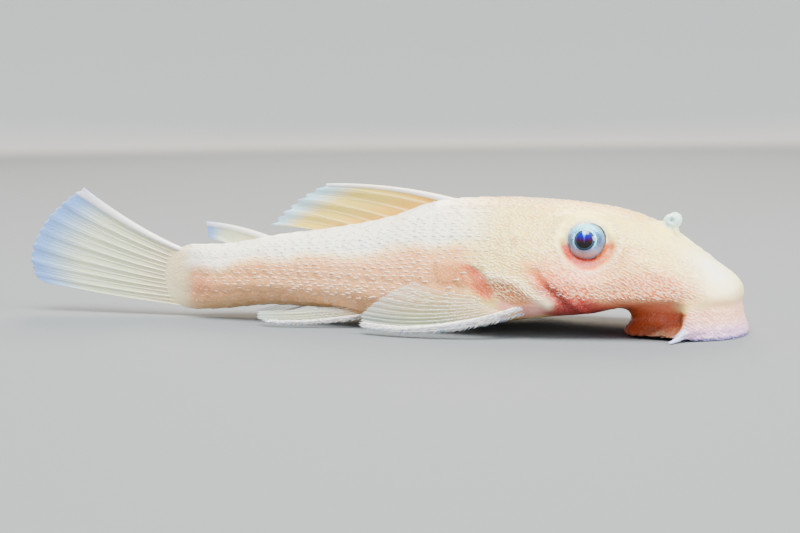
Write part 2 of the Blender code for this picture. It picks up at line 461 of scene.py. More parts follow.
class Effects:
    """The shared groups, each built once."""

    def __init__(self) -> None:
        """Builds every group."""
        self.granules = granule_effect()
        self.mottle = mottle_effect()

    @staticmethod
    def use(graph: Graph, tree: NodeTree, inputs: dict) -> Node:
        """Places a group in a material.

        Args:
            graph: The material's graph.
            tree: The group.
            inputs: Its own values in this material.

        Returns:
            The group's node.
        """
        node = graph.add("Group")
        node.node_tree = tree
        graph.wire(node, inputs)
        return node


def start_material(name: str) -> tuple[Material, Graph, Node]:
    """Makes a material with its one shader.

    Args:
        name: The material's name.

    Returns:
        The material, its graph and its Principled shader.
    """
    made = bpy.data.materials.new(name)
    made.use_nodes = True
    graph = Graph(made.node_tree)
    return made, graph, made.node_tree.nodes["Principled BSDF"]


@dataclass(frozen=True)
class SkinFinish:
    """Pale wet skin with granular plates, over warm flesh.

    Attributes:
        name: The material's name.
        density: Granules per metre.
        groove_tint: What grooves between granules are multiplied by.
        top_colour: The colour of the granules' tops.
        bump: Height of the granules in metres.
    """

    name: str = "pleco_skin"
    density: float = 6200.0
    groove_tint: Colour = linear("d6a266")
    top_colour: Colour = linear("fff2b0")
    bump: float = 0.00004

    def material(self, effects: Effects) -> Material:
        """Builds the material.

        Args:
            effects: The shared groups.

        Returns:
            The material.
        """
        made, graph, shader = start_material(self.name)
        tint = graph.attribute("tint", "Color")
        grain = graph.attribute("grain")
        granules = Effects.use(graph, effects.granules, {"Density": self.density})
        mottle = Effects.use(graph, effects.mottle, {})
        groove = graph.times(granules.outputs["Groove"], grain)
        top = graph.times(granules.outputs["Height"], grain)
        colour = graph.mix(graph.times(groove, 0.65), tint, self.groove_tint, "MULTIPLY")
        colour = graph.mix(graph.times(top, 0.45), colour, self.top_colour)
        cloud = graph.times(mottle.outputs["Cloud"], 0.16)
        colour = graph.mix(cloud, colour, "ffcf98", "MULTIPLY")
        speck = graph.times(mottle.outputs["Speck"], 0.12)
        colour = graph.mix(speck, colour, "fffdf4")
        rough = graph.span(mottle.outputs["Speck"], 0, 1, 0.34, 0.52)
        height = graph.math("ADD", top, graph.times(mottle.outputs["Speck"], 0.18))
        bump = graph.add("Bump", {"Height": height, "Distance": self.bump, "Strength": 0.9})
        looks = {
            "Base Color": colour, "Roughness": rough, "Normal": bump.outputs[0],
            "Subsurface Weight": 0.2, "Subsurface Radius": (0.8, 0.55, 0.3),
            "Subsurface Scale": 0.00035, "Coat Weight": 0.2, "Coat Roughness": 0.2, "IOR": 1.4,
        }
        graph.wire(shader, looks)
        return made


@dataclass(frozen=True)
class FinFinish:
    """Thin fin skin between pale rays.

    Attributes:
        name: The material's name.
        root: Membrane colour at the root.
        middle: Membrane colour half way out.
        edge: Colour of the margin, pale blue-white in most fins: painted rim light.
        ray: Colour of the rays.
        veil: How solid the membranes are.
        lead: Colour along the first ray.
    """

    name: str
    root: Colour
    middle: Colour
    edge: Colour
    ray: Colour
    lead: Colour
    veil: float = 0.72

    def material(self, effects: Effects) -> Material:
        """Builds the material.

        Args:
            effects: The shared groups.

        Returns:
            The material.
        """
        made, graph, shader = start_material(self.name)
        out, ray, lead = (graph.attribute(name) for name in ("reach", "ray", "lead"))
        mottle = Effects.use(graph, effects.mottle, {"Cloud Density": 500.0})
        colour = graph.mix(graph.span(out, 0.05, 0.55), self.root, self.middle)
        colour = graph.mix(graph.times(ray, 0.8), colour, self.ray)
        # Painted rim light: the outer part of each fin goes to the pale blue-white edge colour.
        colour = graph.mix(graph.span(out, 0.62, 1.0), colour, self.edge)
        colour = graph.mix(lead, colour, self.lead)
        cloud = graph.times(mottle.outputs["Cloud"], 0.12)
        colour = graph.mix(cloud, colour, "d9e6e2", "MULTIPLY")
        rough = graph.span(mottle.outputs["Speck"], 0, 1, 0.28, 0.46)
        solid = graph.math("MAXIMUM", graph.span(ray, 0.0, 0.8, self.veil, 0.45 + 0.55 * self.veil), lead)
        solid = graph.math("MAXIMUM", solid, graph.span(out, 0.3, 0.05, 0.0, 1.0))
        bump = graph.add("Bump", {"Height": mottle.outputs["Speck"], "Distance": 0.00001})
        looks = {
            "Base Color": colour, "Roughness": rough, "Alpha": solid, "Normal": bump.outputs[0],
            "Subsurface Weight": 0.25, "Subsurface Radius": (1.0, 0.7, 0.5),
            "Subsurface Scale": 0.0003, "Coat Weight": 0.2, "Coat Roughness": 0.2,
        }
        graph.wire(shader, looks)
        return made


@dataclass(frozen=True)
class SpineFinish:
    """Tiny glassy spines, which take their colour from the skin under them.

    Attributes:
        name: The material's name.
        roughness: How dull they are.
    """

    name: str = "pleco_spines"
    roughness: float = 0.3

    def material(self, effects: Effects) -> Material:
        """Builds the material.

        Args:
            effects: The shared groups.

        Returns:
            The material.
        """
        made, graph, shader = start_material(self.name)
        mottle = Effects.use(graph, effects.mottle, {"Speck Density": 14000.0})
        colour = graph.attribute("tint", "Color")
        speck = graph.times(mottle.outputs["Speck"], 0.2)
        looks = {
            "Base Color": graph.mix(speck, colour, "fff7e6"),
            "Roughness": graph.span(mottle.outputs["Cloud"], 0, 1, self.roughness, self.roughness + 0.15),
            "Subsurface Weight": 0.2, "Subsurface Radius": (1.0, 0.6, 0.4),
            "Subsurface Scale": 0.0003,
        }
        graph.wire(shader, looks)
        return made


@dataclass(frozen=True)
class EyeFinish:
    """A blue eye with a heart-shaped pupil. All sizes are shares of the pupil's radius.

    Attributes:
        name: The material's name.
        silver: Outer radius of the bright ring round the pupil.
        slate: Outer radius of the dark ring round that.
        glint: Outer radius of the light ring round that.
        blur: How soft the edges are.
    """

    name: str = "pleco_eye"
    silver: float = 1.05
    slate: float = 1.27
    glint: float = 1.5
    blur: float = 0.05

    def inside(self, graph: Graph, distance: Feed, radius: float) -> NodeSocket:
        """A mask that is 1 within a radius."""
        return graph.span(distance, radius + self.blur, radius - self.blur)

    def material(self, effects: Effects) -> Material:
        """Builds the material.

        Args:
            effects: The shared groups.

        Returns:
            The material.
        """
        made, graph, shader = start_material(self.name)
        spots = graph.add("UVMap", uv_map="iris").outputs[0]
        split = graph.add("SeparateXYZ", {0: spots})
        scale = Eye.UV_SHARE
        forward = graph.math("DIVIDE", graph.math("SUBTRACT", split.outputs[0], 0.5), scale)
        up = graph.math("DIVIDE", graph.math("SUBTRACT", split.outputs[1], 0.5), scale)
        aside = graph.math("ABSOLUTE", forward)
        squares = graph.math("ADD", graph.times(forward, forward), graph.times(up, up))
        distance = graph.math("SQRT", squares)
        mottle = Effects.use(graph, effects.mottle, {"Cloud Density": 4600.0, "Speck Density": 9000.0})
        colour = self.iris(graph, up, forward, distance, mottle)
        glint = graph.times(self.inside(graph, distance, self.glint), graph.span(up, -1.3, -0.4))
        glint = graph.times(glint, graph.span(mottle.outputs["Speck"], 0.9, 0.3))
        colour = graph.mix(graph.times(glint, 0.9), colour, "8fe4ff")
        colour = graph.mix(self.inside(graph, distance, self.slate), colour, "16304a")
        colour = graph.mix(self.inside(graph, distance, self.silver), colour, "3c5560")
        pupil = graph.mix(graph.span(up, -0.45, 0.05), "090506", "30051a")
        # The cobalt blue over the upper pupil is a painted reflection.
        pupil = graph.mix(graph.span(up, -0.15, 0.7), pupil, "000a98")
        colour = graph.mix(self.inside(graph, distance, 0.99), colour, pupil)
        flap_edge = graph.times(graph.math("ADD", up, 0.12), 0.17)
        flap = graph.span(graph.math("SUBTRACT", aside, flap_edge), 0.07, -0.03)
        flap = graph.times(flap, self.inside(graph, distance, 1.15))
        # The flap's blue, turning cyan towards its top, is a painted reflection with a painted highlight at
        # the top.
        flap_reflection = graph.mix(graph.span(up, 0.15, 0.95), "0a2fc0", "20b8e0")
        colour = graph.mix(flap, colour, flap_reflection)
        looks = {
            "Base Color": colour,
            "Roughness": graph.span(mottle.outputs["Speck"], 0, 1, 0.08, 0.16), "Coat Weight": 1.0,
            "Coat Roughness": 0.03, "Coat IOR": 1.36, "IOR": 1.3, "Specular IOR Level": 0.25,
        }
        graph.wire(shader, looks)
        return made

    @staticmethod
    def iris(graph: Graph, up: Feed, forward: Feed, distance: Feed, mottle: Node) -> NodeSocket:
        """Colours the wide pale iris round the pupil.

        Args:
            graph: The material's graph.
            up: Height over the middle of the pupil.
            forward: Distance in front of it.
            distance: Distance from it.
            mottle: The shared group's node.

        Returns:
            The iris's colour.
        """
        colour = graph.mix(graph.span(up, -2.2, 0.3), "9c8894", "5ca8f4")
        # Painted highlight: the top of the iris goes to a cyan-white arc.
        colour = graph.mix(graph.span(up, 0.7, 1.7), colour, "90e6ff")
        flecks = graph.times(mottle.outputs["Speck"], graph.span(up, -1.7, -0.4))
        flecks = graph.times(flecks, graph.span(up, 2.2, 1.0))
        colour = graph.mix(graph.times(flecks, 0.9), colour, "2a3a66")
        ahead = graph.times(graph.span(forward, 1.1, 1.8), graph.span(up, 1.5, 0.3))
        behind = graph.times(graph.span(forward, -1.3, -1.8), graph.span(up, 1.3, 0.3))
        shade = graph.times(graph.math("ADD", ahead, behind), graph.span(up, -1.5, -0.3))
        colour = graph.mix(graph.times(shade, 0.8), colour, "2c3c58")
        tan = graph.times(graph.span(up, -0.9, -1.9), mottle.outputs["Speck"])
        colour = graph.mix(graph.times(tan, 0.5), colour, "94745f")
        rim = graph.span(distance, 2.0, 2.9)
        return graph.mix(graph.times(rim, 0.8), colour, "54708c")


@dataclass(frozen=True)
class FloorFinish:
    """Plain pale matt studio paper.

    Attributes:
        name: The material's name.
        colour: Its colour.
        wall_colour: The colour of its far wall, which gets less light.
    """

    name: str = "studio_paper"
    wall_colour: Colour = linear("dfe4ea")
    colour: Colour = linear("646d76")

    def material(self) -> Material:
        """Builds the material."""
        made, graph, shader = start_material(self.name)
        noise = graph.add("TexNoise", {"Vector": graph.place(), "Scale": 900.0})
        share = graph.times(noise.outputs["Fac"], 0.04)
        away = graph.add("VectorMath", {0: graph.place()}, operation="LENGTH").outputs["Value"]
        colour = graph.mix(graph.span(away, 0.3, 0.52), self.colour, self.wall_colour)
        graph.feed(shader.inputs["Base Color"], graph.mix(share, colour, "525a62"))
        shader.inputs["Roughness"].default_value = 0.85
        return made


# The skin


class BodyMap:
    """The measures of the body at each distance behind the snout, read from the CAD solids' rings."""

    def __init__(self, nodes: dict) -> None:
        """Reads the rings.

        Args:
            nodes: The CAD objects by name.
        """
        rows = {}
        for name in RING_NODES:
            points = mesh_points(nodes[name].data) / MM
            along = np.round(SNOUT - points[:, 0], 3)
            for place in np.unique(along):
                ring = np.unique(np.round(points[along == place][:, 1:], 4), axis=0)
                if len(ring) >= 24:
                    widest = ring[np.argmax(ring[:, 0])]
                    rows[float(place)] = (widest[0], ring[:, 1].max(), ring[:, 1].min(), widest[1])
        places = tuple(sorted(rows))
        table = np.array([rows[p] for p in places])
        self.half_width, self.back, self.belly, self.widest = (
            SmoothCurve(places, tuple(table[:, i])) for i in range(4)
        )

    def angle(self, along: Array, across: Array, height: Array) -> Array:
        """How far round the body points lie.

        Args:
            along: Distances behind the snout.
            across: Distances from the middle plane.
            height: Heights over the floor.

        Returns:
            Angles: 0 at the widest level, half pi on the back and minus half pi on the belly.
        """
        middle = self.widest.at(along)
        over = (height - middle) / (self.back.at(along) - middle)
        under = (height - middle) / (middle - self.belly.at(along))
        side = np.abs(across) / self.half_width.at(along)
        return np.arctan2(np.where(height > middle, over, under), side)

    def ray(self, along: float, angle: float, side: int) -> tuple[Vector, Vector]:
        """A ray from well outside the body to its middle line, for finding the skin.

        Args:
            along: Distance behind the snout.
            angle: How far round, as angle() gives it.
            side: The sign of Y.

        Returns:
            The ray's start and its direction, in millimetres.
        """
        middle = float(self.widest.at(along))
        up = math.sin(angle)
        reach = float(self.back.at(along)) - middle if up > 0 else middle - float(self.belly.at(along))
        wide = float(self.half_width.at(along))
        outward = Vector((0, side * wide * math.cos(angle), reach * up))
        centre = Vector((SNOUT - along, 0, middle))
        return centre + outward * 1.6, -outward.normalized()


class Clay:
    """A mesh in millimetres that is smoothed and pushed about, point by point."""

    def __init__(self, mesh: Mesh) -> None:
        """Reads the mesh.

        Args:
            mesh: The mesh to work on.
        """
        self.mesh = mesh
        self.points = mesh_points(mesh)
        edges = np.empty(len(mesh.edges) * 2, int)
        mesh.edges.foreach_get("vertices", edges)
        self.one, self.other = edges.reshape(-1, 2).T
        count = len(self.points)
        self.degree = np.bincount(self.one, minlength=count) + np.bincount(self.other, minlength=count)

    def normals(self) -> Array:
        """The direction out of the surface at each point."""
        self.mesh.vertices.foreach_set("co", self.points.ravel())
        self.mesh.update()
        out = np.empty(len(self.points) * 3)
        self.mesh.vertex_normals.foreach_get("vector", out)
        return out.reshape(-1, 3)

    def mean(self, values: Array) -> Array:
        """The mean of each point's neighbours."""
        count = len(self.points)
        total = np.bincount(self.one, values[self.other], count)
        total += np.bincount(self.other, values[self.one], count)
        return total / np.maximum(self.degree, 1)

    def relax(self, rounds: int, share: Array | float = 0.5, hold: float = -0.52) -> None:
        """Evens out the surface.

        Args:
            rounds: How many times.
            share: How far points move to the mean of their neighbours, at each point or at all.
            hold: The step back after each step, which keeps the volume; 0 for none.
        """
        for _ in range(rounds):
            for step in (share, hold):
                if np.any(step):
                    means = np.stack([self.mean(self.points[:, i]) for i in range(3)], axis=1)
                    step = np.broadcast_to(np.asarray(step, float), len(means))
                    self.points += (means - self.points) * step[:, None]

    def push(self, distance: Array) -> None:
        """Moves points out along the normals."""
        self.points += self.normals() * distance[:, None]


class Paint:
    """Colours over the skin's points, laid one over another."""

    def __init__(self, count: int, ground: str) -> None:
        """Starts with one colour.

        Args:
            count: How many points there are.
            ground: The first colour.
        """
        self.rows = np.tile(np.array(linear(ground)), (count, 1))

    def lay(self, mask: Array, code: str) -> None:
        """Lays a colour over what is there."""
        self.rows += (np.array(linear(code)) - self.rows) * np.clip(mask, 0, 1)[:, None]


@dataclass
class Spots:
    """Where points of the skin lie on the fish, in millimetres.

    Attributes:
        along: Distance behind the snout.
        across: Distance from the middle plane.
        height: Height over the floor.
        angle: How far round the body.
    """

    along: Array
    across: Array
    height: Array
    angle: Array

    def near(self, along: float, across: float, height: float) -> Array:
        """Distances from a place that both sides have."""
        return np.sqrt(
            (self.along - along) ** 2 + (self.across - across) ** 2 + (self.height - height) ** 2
        )

    def patch(self, along: float, height: float, long: float, tall: float, turn: float = 0) -> Array:
        """A soft oval on the flank.

        Args:
            along: Its middle, behind the snout.
            height: Its middle's height.
            long: Its half length.
            tall: Its half height.
            turn: How far its rear end is turned up, in degrees.

        Returns:
            Shares from 0 to 1.
        """
        turn = math.radians(turn)
        back, up = self.along - along, self.height - height
        on = (back * math.cos(turn) + up * math.sin(turn)) / long
        off = (up * math.cos(turn) - back * math.sin(turn)) / tall
        return ease(np.hypot(on, off), 1.25, 0.65)


@dataclass
class Skin:
    """The one skin over head, trunk, tail, lips, feelers and nostril hoods.

    Attributes:
        voxel: How fine the skin is made, in millimetres.
        swell: How far the solids grow to close the gaps between them.
        eye_place: Middle of each eyeball: along, across, height.
        eye_radius: Radius of the eyeball.
        socket_radius: Radius of the hollow that the solids leave for it.
        lid_forward: How far the ring of the eyelids faces the snout, in degrees.
        lid_upward: How far it faces up.
        hood: Middle of the knob over each nostril.
        hood_radius: Its radius.
        nostril: The opening in each hood: along, across, height.
        nub: Middle of the small bulge in front of each hood.
        lid_height: How far out of the eyeball's middle the ring of the eyelids lies.
        lid_tilt: How much less that is above the eye, and more below it.
        sectors: How many parts the ring is measured in.
        mouth: Middle of the lips, behind the snout's tip.
        feeler: Root of each feeler: along, across, height.
        feeler_turn: How far each feeler is swept back, in degrees.
        gill: The groove behind the gill cover.
        shoulder: The ridge of the shoulder bone.
        flank_edge: Where the pale back, painted near white partly as the bright light from above, meets the
            warm flank.
        body: The outline of the solids.
        points: The finished skin's points, in millimetres.
        normals: Their directions out of the skin.
        where: Where they lie on the fish.
        colours: Their colours.
        grain: How granular the skin is at each.
        faces: The skin's faces, for casting rays.
        tree: The skin's points, for finding the nearest.
    """

    voxel: float = 0.125
    swell: float = 0.2
    eye_place: Triple = (8.2, 3.5, 5.5)
    eye_radius: float = 1.14
    socket_radius: float = 1.55
    lid_forward: float = 17.0
    lid_upward: float = 9.0
    hood: Triple = (3.95, 0.62, 6.55)
    hood_radius: float = 0.42
    nostril: Triple = (3.82, 0.95, 6.6)
    nub: Triple = (3.57, 0.72, 6.08)
    lid_height: float = 0.52
    lid_tilt: float = 0.06
    sectors: int = 48
    mouth: float = 3.15
    feeler: Triple = (2.7, 4.4, 0.3)
    feeler_turn: float = 22.0
    gill: Track = Track(
        ((11.2, 4.15), (10.65, 3.63), (10.28, 3.25), (9.82, 2.86), (9.53, 2.58), (9.15, 2.19), (8.6, 1.6))
    )
    shoulder: Track = Track(
        ((13.6, 3.59), (13.0, 3.56), (12.05, 3.26), (11.14, 2.72), (10.38, 2.34), (9.99, 2.06))
    )
    flank_edge: SmoothCurve = SmoothCurve(
        (13.0, 16.3, 19.5, 22.9, 26.4, 30.0, 33.7, 37.0), (5.3, 5.2, 4.8, 4.4, 3.9, 3.75, 3.1, 2.9)
    )
    body: BodyMap = field(init=False)
    points: Array = field(init=False)
    normals: Array = field(init=False)
    where: Spots = field(init=False)
    colours: Array = field(init=False)
    grain: Array = field(init=False)
    faces: BVHTree = field(init=False)
    tree: KDTree = field(init=False)

    def build(self, nodes: dict) -> Mesh:
        """Makes the skin's shape and its markings.

        Args:
            nodes: The CAD objects by name.

        Returns:
            The skin, in metres.
        """
        self.body = BodyMap(nodes)
        clay = Clay(self.refine(self.remesh(self.join(nodes))))
        clay.relax(5)
        clay.push(np.full(len(clay.points), -self.swell - 0.02))
        clay.relax(6)
        clay.relax(26, share=self.seams(self.spots(clay)) * 0.6, hold=0)
        self.shape_nostrils(clay)
        self.shape_mouth(clay)
        self.shape_head(clay)
        self.shape_eyes(clay)
        self.shape_plates(clay)
        self.shape_tail(clay)
        clay.points[:, 2] = np.maximum(clay.points[:, 2], 0.0)
        self.normals = clay.normals()
        self.points = clay.points.copy()
        self.faces = BVHTree.FromPolygons(
            [Vector(p) for p in self.points], [tuple(f.vertices) for f in clay.mesh.polygons]
        )
        self.tree = KDTree(len(self.points))
        for index, point in enumerate(self.points):
            self.tree.insert(point, index)
        self.tree.balance()
        self.where = self.spots(clay)
        self.colours, self.grain = self.paint()
        clay.mesh.vertices.foreach_set("co", (clay.points * MM).ravel())
        clay.mesh.update()
        set_attribute(clay.mesh, "tint", self.colours)
        set_attribute(clay.mesh, "grain", self.grain)
        return clay.mesh

    def join(self, nodes: dict) -> Mesh:
        """Joins swollen copies of the solids, in millimetres.

        Args:
            nodes: The CAD objects by name.

        Returns:
            The joined mesh.
        """
        mesh = bmesh.new()
        for name in SKIN_NODES:
            mesh.from_mesh(nodes[name].data)
        bmesh.ops.remove_doubles(mesh, verts=mesh.verts, dist=0.001 * MM)
        bmesh.ops.scale(mesh, vec=(1 / MM,) * 3, verts=mesh.verts)
        mesh.normal_update()
        moves = [(v, v.normal * self.swell * min(v.calc_shell_factor(), 1.6)) for v in mesh.verts]
        for vert, move in moves:
            vert.co += move
        joined = bpy.data.meshes.new("flesh")
        mesh.to_mesh(joined)
        mesh.free()
        return joined

    def remesh(self, joined: Mesh) -> Mesh:
        """Melts the joined shells into one even mesh.

        Args:
            joined: The overlapping shells.

        Returns:
            One closed mesh of small quads.
        """
        lump = bpy.data.objects.new("lump", joined)
        bpy.context.scene.collection.objects.link(lump)
        modifier = lump.modifiers.new("melt", "REMESH")
        modifier.mode = "VOXEL"
        modifier.voxel_size = self.voxel
        graph = bpy.context.evaluated_depsgraph_get()
        melted = bpy.data.meshes.new_from_object(lump.evaluated_get(graph))
        bpy.data.objects.remove(lump)
        bpy.data.meshes.remove(joined)
        return melted

    def refine(self, melted: Mesh) -> Mesh:
        """Makes the mesh twice as fine round the eyes and the nostrils.

        Args:
            melted: The even mesh.

        Returns:
            The same mesh.
        """
        mesh = bmesh.new()
        mesh.from_mesh(melted)
        chosen = set()
        for place, reach in ((self.eye_place, 2.1), (self.nostril, 1.25)):
            for side in Side:
                middle = Vector(on_side(place, side))
                chosen.update(
                    face for face in mesh.faces if (face.calc_center_median() - middle).length < reach
                )
        edges = {edge for face in chosen for edge in face.edges}
        bmesh.ops.subdivide_edges(mesh, edges=list(edges), cuts=1, use_grid_fill=True)
        mesh.to_mesh(melted)
        mesh.free()
        return melted

    def spots(self, clay: Clay) -> Spots:
        """Where the clay's points lie on the fish."""
        along = SNOUT - clay.points[:, 0]
        across, height = np.abs(clay.points[:, 1]), clay.points[:, 2]
        return Spots(along, across, height, self.body.angle(along, across, height))

    def round_eye(self, points: Array) -> tuple[Array, Array, Array, Array]:
        """Measures points about the ring of the eyelids, both sides alike.

        Args:
            points: Places in millimetres.

        Returns:
            How far each lies out along the ring's axis and away from it, which way round the ring it lies
            (0 in front and half pi above), and the ring's axis.
        """
        along, across, height = self.eye_place
        around, over = math.radians(self.lid_forward), math.radians(self.lid_upward)
        axis = np.array(
            (math.sin(around) * math.cos(over), math.cos(around) * math.cos(over), math.sin(over))
        )
        ahead = np.cross(axis, (0.0, 0.0, 1.0))
        ahead /= np.linalg.norm(ahead)
        away = points * (1, 0, 1)
        away[:, 1] = np.abs(points[:, 1])
        away = away - (SNOUT - along, across, height)
        out = away @ axis
        front, top = away @ ahead, away @ np.cross(ahead, axis)
        return out, np.hypot(front, top), np.arctan2(top, front), axis

    def seams(self, at: Spots) -> Array:
        """Where the gaps between the solids were, for smoothing.

        Args:
            at: The points' places.

        Returns:
            Shares from 0 to 1.
        """
        cuts = np.maximum(hump(at.along, 12.4, 0.5), hump(at.along, 26.6, 0.5))
        lips = hump(at.height, 1.7, 0.7) * ease(at.along, 7.6, 6.8)
        feelers = hump(at.near(2.6, 4.0, 0.4), 0, 0.8)
        hoods = hump(at.height, self.body.back.at(at.along) - 0.1, 0.3) * (at.near(4.2, 0.62, 6.1) < 1.1)
        return np.clip(cuts + lips + feelers + hoods, 0, 1)

    def shape_eyes(self, clay: Clay) -> None:
        """Draws the skin close round the eyeballs, with a trough and a lid fold under each.

        Args:
            clay: The skin.
        """
        out, away, turn, axis = self.round_eye(clay.points)
        sectors = self.sectors
        place = (turn + math.pi) / (2 * math.pi) * sectors
        sector = np.round(place).astype(int) % sectors
        ring = (away > 1.5) & (away < 1.85) & (out > -1.3)
        found = np.full(sectors, np.nan)
        for i in range(sectors):
            heights = out[ring & (sector == i)]
            if len(heights):
                found[i] = np.quantile(heights, 0.9)
        good = np.flatnonzero(~np.isnan(found))
        found = np.interp(np.arange(sectors), good, found[good], period=sectors)
        for _ in range(6):
            found = 0.5 * found + 0.25 * (np.roll(found, 1) + np.roll(found, -1))
        before = np.floor(place).astype(int)
        low, high = found[before % sectors], found[(before + 1) % sectors]
        rim = low * (1 - place + before) + high * (place - before)
        wanted = self.lid_height - self.lid_tilt * np.sin(turn)
        shift = (wanted - rim) * ease(away, 2.75, 1.25) * ease(out, -1.6, -0.9)
        move = np.outer(shift, axis)
        move[:, 1] *= np.where(clay.points[:, 1] > 0, 1, -1)
        clay.points += move
        clay.relax(4, share=ease(away, 2.9, 2.3) * ease(away, 1.3, 1.6) * 0.5, hold=0)
        for side in Side:
            middle = on_side(self.eye_place, side)
            gap = clay.points - middle
            distance = np.linalg.norm(gap, axis=1)
            closer = (self.socket_radius - self.eye_radius - 0.02) * ease(distance, 2.1, 1.5)
            nearest = np.maximum(distance - closer, self.eye_radius + 0.015)
            clay.points = np.where(
                (distance < 2.2)[:, None], middle + gap * (nearest / distance)[:, None], clay.points
            )
        out, away, turn, _ = self.round_eye(clay.points)
        skin = ease(out, -0.5, -0.1)
        below = ease(np.sin(turn), 0.15, -0.35)
        fold = 0.075 * hump(away, 1.78, 0.17) * (0.3 + 0.7 * below)
        trough = -0.07 * hump(away, 1.48, 0.14) * below
        lid = 0.05 * hump(away, 1.38, 0.12) * (1 - below)
        clay.push((fold + trough + lid) * skin * (away > 1.3))

    def shape_head(self, clay: Clay) -> None:
        """Cuts the gill groove and raises the shoulder bone, the cheek and the tip of the snout.

        Args:
            clay: The skin.
        """
        at = self.spots(clay)
        flank = ease(at.across, 2.6, 3.6)
        gap, share = self.gill.measure(at.along, at.height)
        groove = -0.14 * hump(gap, 0, 0.24) * ease(share, -0.1, 0.5)
        ahead = self.gill.measure(at.along + 0.42, at.height - 0.1)[0]
        cover = 0.09 * hump(ahead, 0, 0.3) * ease(share, 0.0, 0.4)
        gap, share = self.shoulder.measure(at.along, at.height)
        ridge = 0.10 * hump(gap, 0, 0.34)
        axil = -0.12 * at.patch(14.1, 3.2, 1.2, 0.6, turn=40)
        pore_line = Track(((2.6, 3.0), (4.6, 4.4), (6.3, 4.4), (7.6, 3.9), (9.2, 4.2)))
        cheek = 0.05 * hump(pore_line.measure(at.along, at.height)[0], 0, 0.3)
        orbit = Track(((5.2, 5.7), (6.4, 5.2), (7.4, 4.1), (8.6, 3.9), (9.8, 4.3)))
        cheek -= 0.05 * hump(orbit.measure(at.along, at.height)[0], 0, 0.2)
        clay.push((groove + cover + ridge + axil + cheek) * flank)
        at = self.spots(clay)
        tip = 0.10 * hump(at.near(0.5, 0.0, 3.0), 0, 1.3)
        crease = -0.07 * hump(at.height, 1.86, 0.22) * ease(at.along, 2.2, 0.3)
        brow = 0.06 * hump(at.angle, 1.05, 0.2) * hump(at.along, 7.0, 2.2)
        clay.push(tip + crease + brow)
        uneven = SoftNoise(3).at(clay.points, 0.9) * 0.02 + SoftNoise(4).at(clay.points, 0.33) * 0.011
        head = ease(at.along, 15.5, 12.0) * ease(at.height, 1.2, 2.2)
        clay.push(uneven * (0.35 + 0.65 * head))

    def fill_lips(self, clay: Clay) -> None:
        """Lets the snout run down into the upper lip without a step.

        Args:
            clay: The skin.
        """
        at = self.spots(clay)
        front = self.mouth - at.along
        turn = np.arctan2(at.across, front)
        reach = np.hypot(at.across, front)
        sectors = 36
        sector = np.clip((turn / math.pi * sectors).astype(int), 0, sectors - 1)
        rings = []
        for low, high in ((2.25, 2.55), (0.25, 0.5)):
            band = (at.height > low) & (at.height < high)
            ring = np.array([reach[band & (sector == i)].max(initial=0) for i in range(sectors)])
            for _ in range(2):
                ends = np.concatenate((ring[:1], ring, ring[-1:]))
                ring = 0.5 * ring + 0.25 * (ends[:-2] + ends[2:])
            rings.append(np.interp(turn / math.pi * sectors - 0.5, np.arange(sectors), ring))
        upper, lower = rings
        share = np.clip((at.height - 0.4) / 2.0, 0, 1)
        hollow = 0.10 + 0.10 * ease(np.abs(turn), 0.7, 0.2)
        wanted = lower + (upper - lower) * share - hollow * np.sin(math.pi * share)
        mask = ease(at.along, 3.3, 2.2) * ease(at.height, 0.3, 0.6) * ease(at.height, 2.5, 2.2)
        outer = ease(reach, 0.72 * wanted, 0.8 * wanted)
        more = np.maximum(wanted - reach, 0) * mask * outer / np.maximum(reach, 0.1)
        clay.points[:, 0] += more * front
        clay.points[:, 1] *= 1 + more
        clay.relax(8, share=ease(at.along, 3.6, 2.6) * hump(at.height, 1.6, 0.8) * 0.5, hold=0)

    @staticmethod
    def lip_edge(at: Spots) -> Array:
        """How far behind the upper lip's rear edge points lie."""
        return at.along - (2.95 - 0.38 * at.height)

    def shape_mouth(self, clay: Clay) -> None:
        """Gives the lips their pleats, their scalloped margin and their rows of soft buds.

        Args:
            clay: The skin.
        """
        self.fill_lips(clay)
        at = self.spots(clay)
        lips = ease(at.height, 1.95, 1.45) * ease(at.along, 7.4, 6.9)
        turn = np.arctan2(at.across / 4.0, (self.mouth - at.along) / 3.55)
        low = ease(at.height, 1.1, 0.1)
        pleats = 0.035 * np.sin(turn * 27 + 1.5 * np.sin(turn * 5)) * low
        behind = ease(self.lip_edge(at), -0.06, 0.14)
        lower = behind * ease(at.along, 7.0, 4.5)
        step = -0.26 * lower + 0.06 * hump(self.lip_edge(at), -0.12, 0.16)
        waist = -0.10 * hump(at.height, 0.95, 0.4) * behind
        buds = 0.03 * SoftNoise(7).at(clay.points, 0.2) + 0.015 * SoftNoise(8).at(clay.points, 0.11)
        bare = ease(at.across, 4.1, 3.8)
        clay.push((pleats + waist + buds + step) * lips * bare)
        self.shape_feelers(clay)

    def shape_feelers(self, clay: Clay) -> None:
        """Draws each feeler at the corner of the mouth out to a slender point.

        Args:
            clay: The skin.
        """
        turn = math.radians(self.feeler_turn)
        axis = np.array((-math.sin(turn), math.cos(turn), -0.1))
        for side in Side:
            aim = axis * (1, side.value, 1)
            gap = clay.points - on_side(self.feeler, side)
            out = gap @ aim
            aside = gap - np.outer(out, aim)
            near = ease(np.linalg.norm(aside, axis=1), 1.0, 0.75) * ease(out, -0.85, -0.35)
            slim = near * (0.42 + 0.18 * ease(out, -0.3, 1.0))
            clay.points -= aside * slim[:, None]
            clay.points[:, 2] -= 0.10 * near * ease(out, -0.3, 0.3)
            clay.relax(5, share=near * 0.5, hold=0)

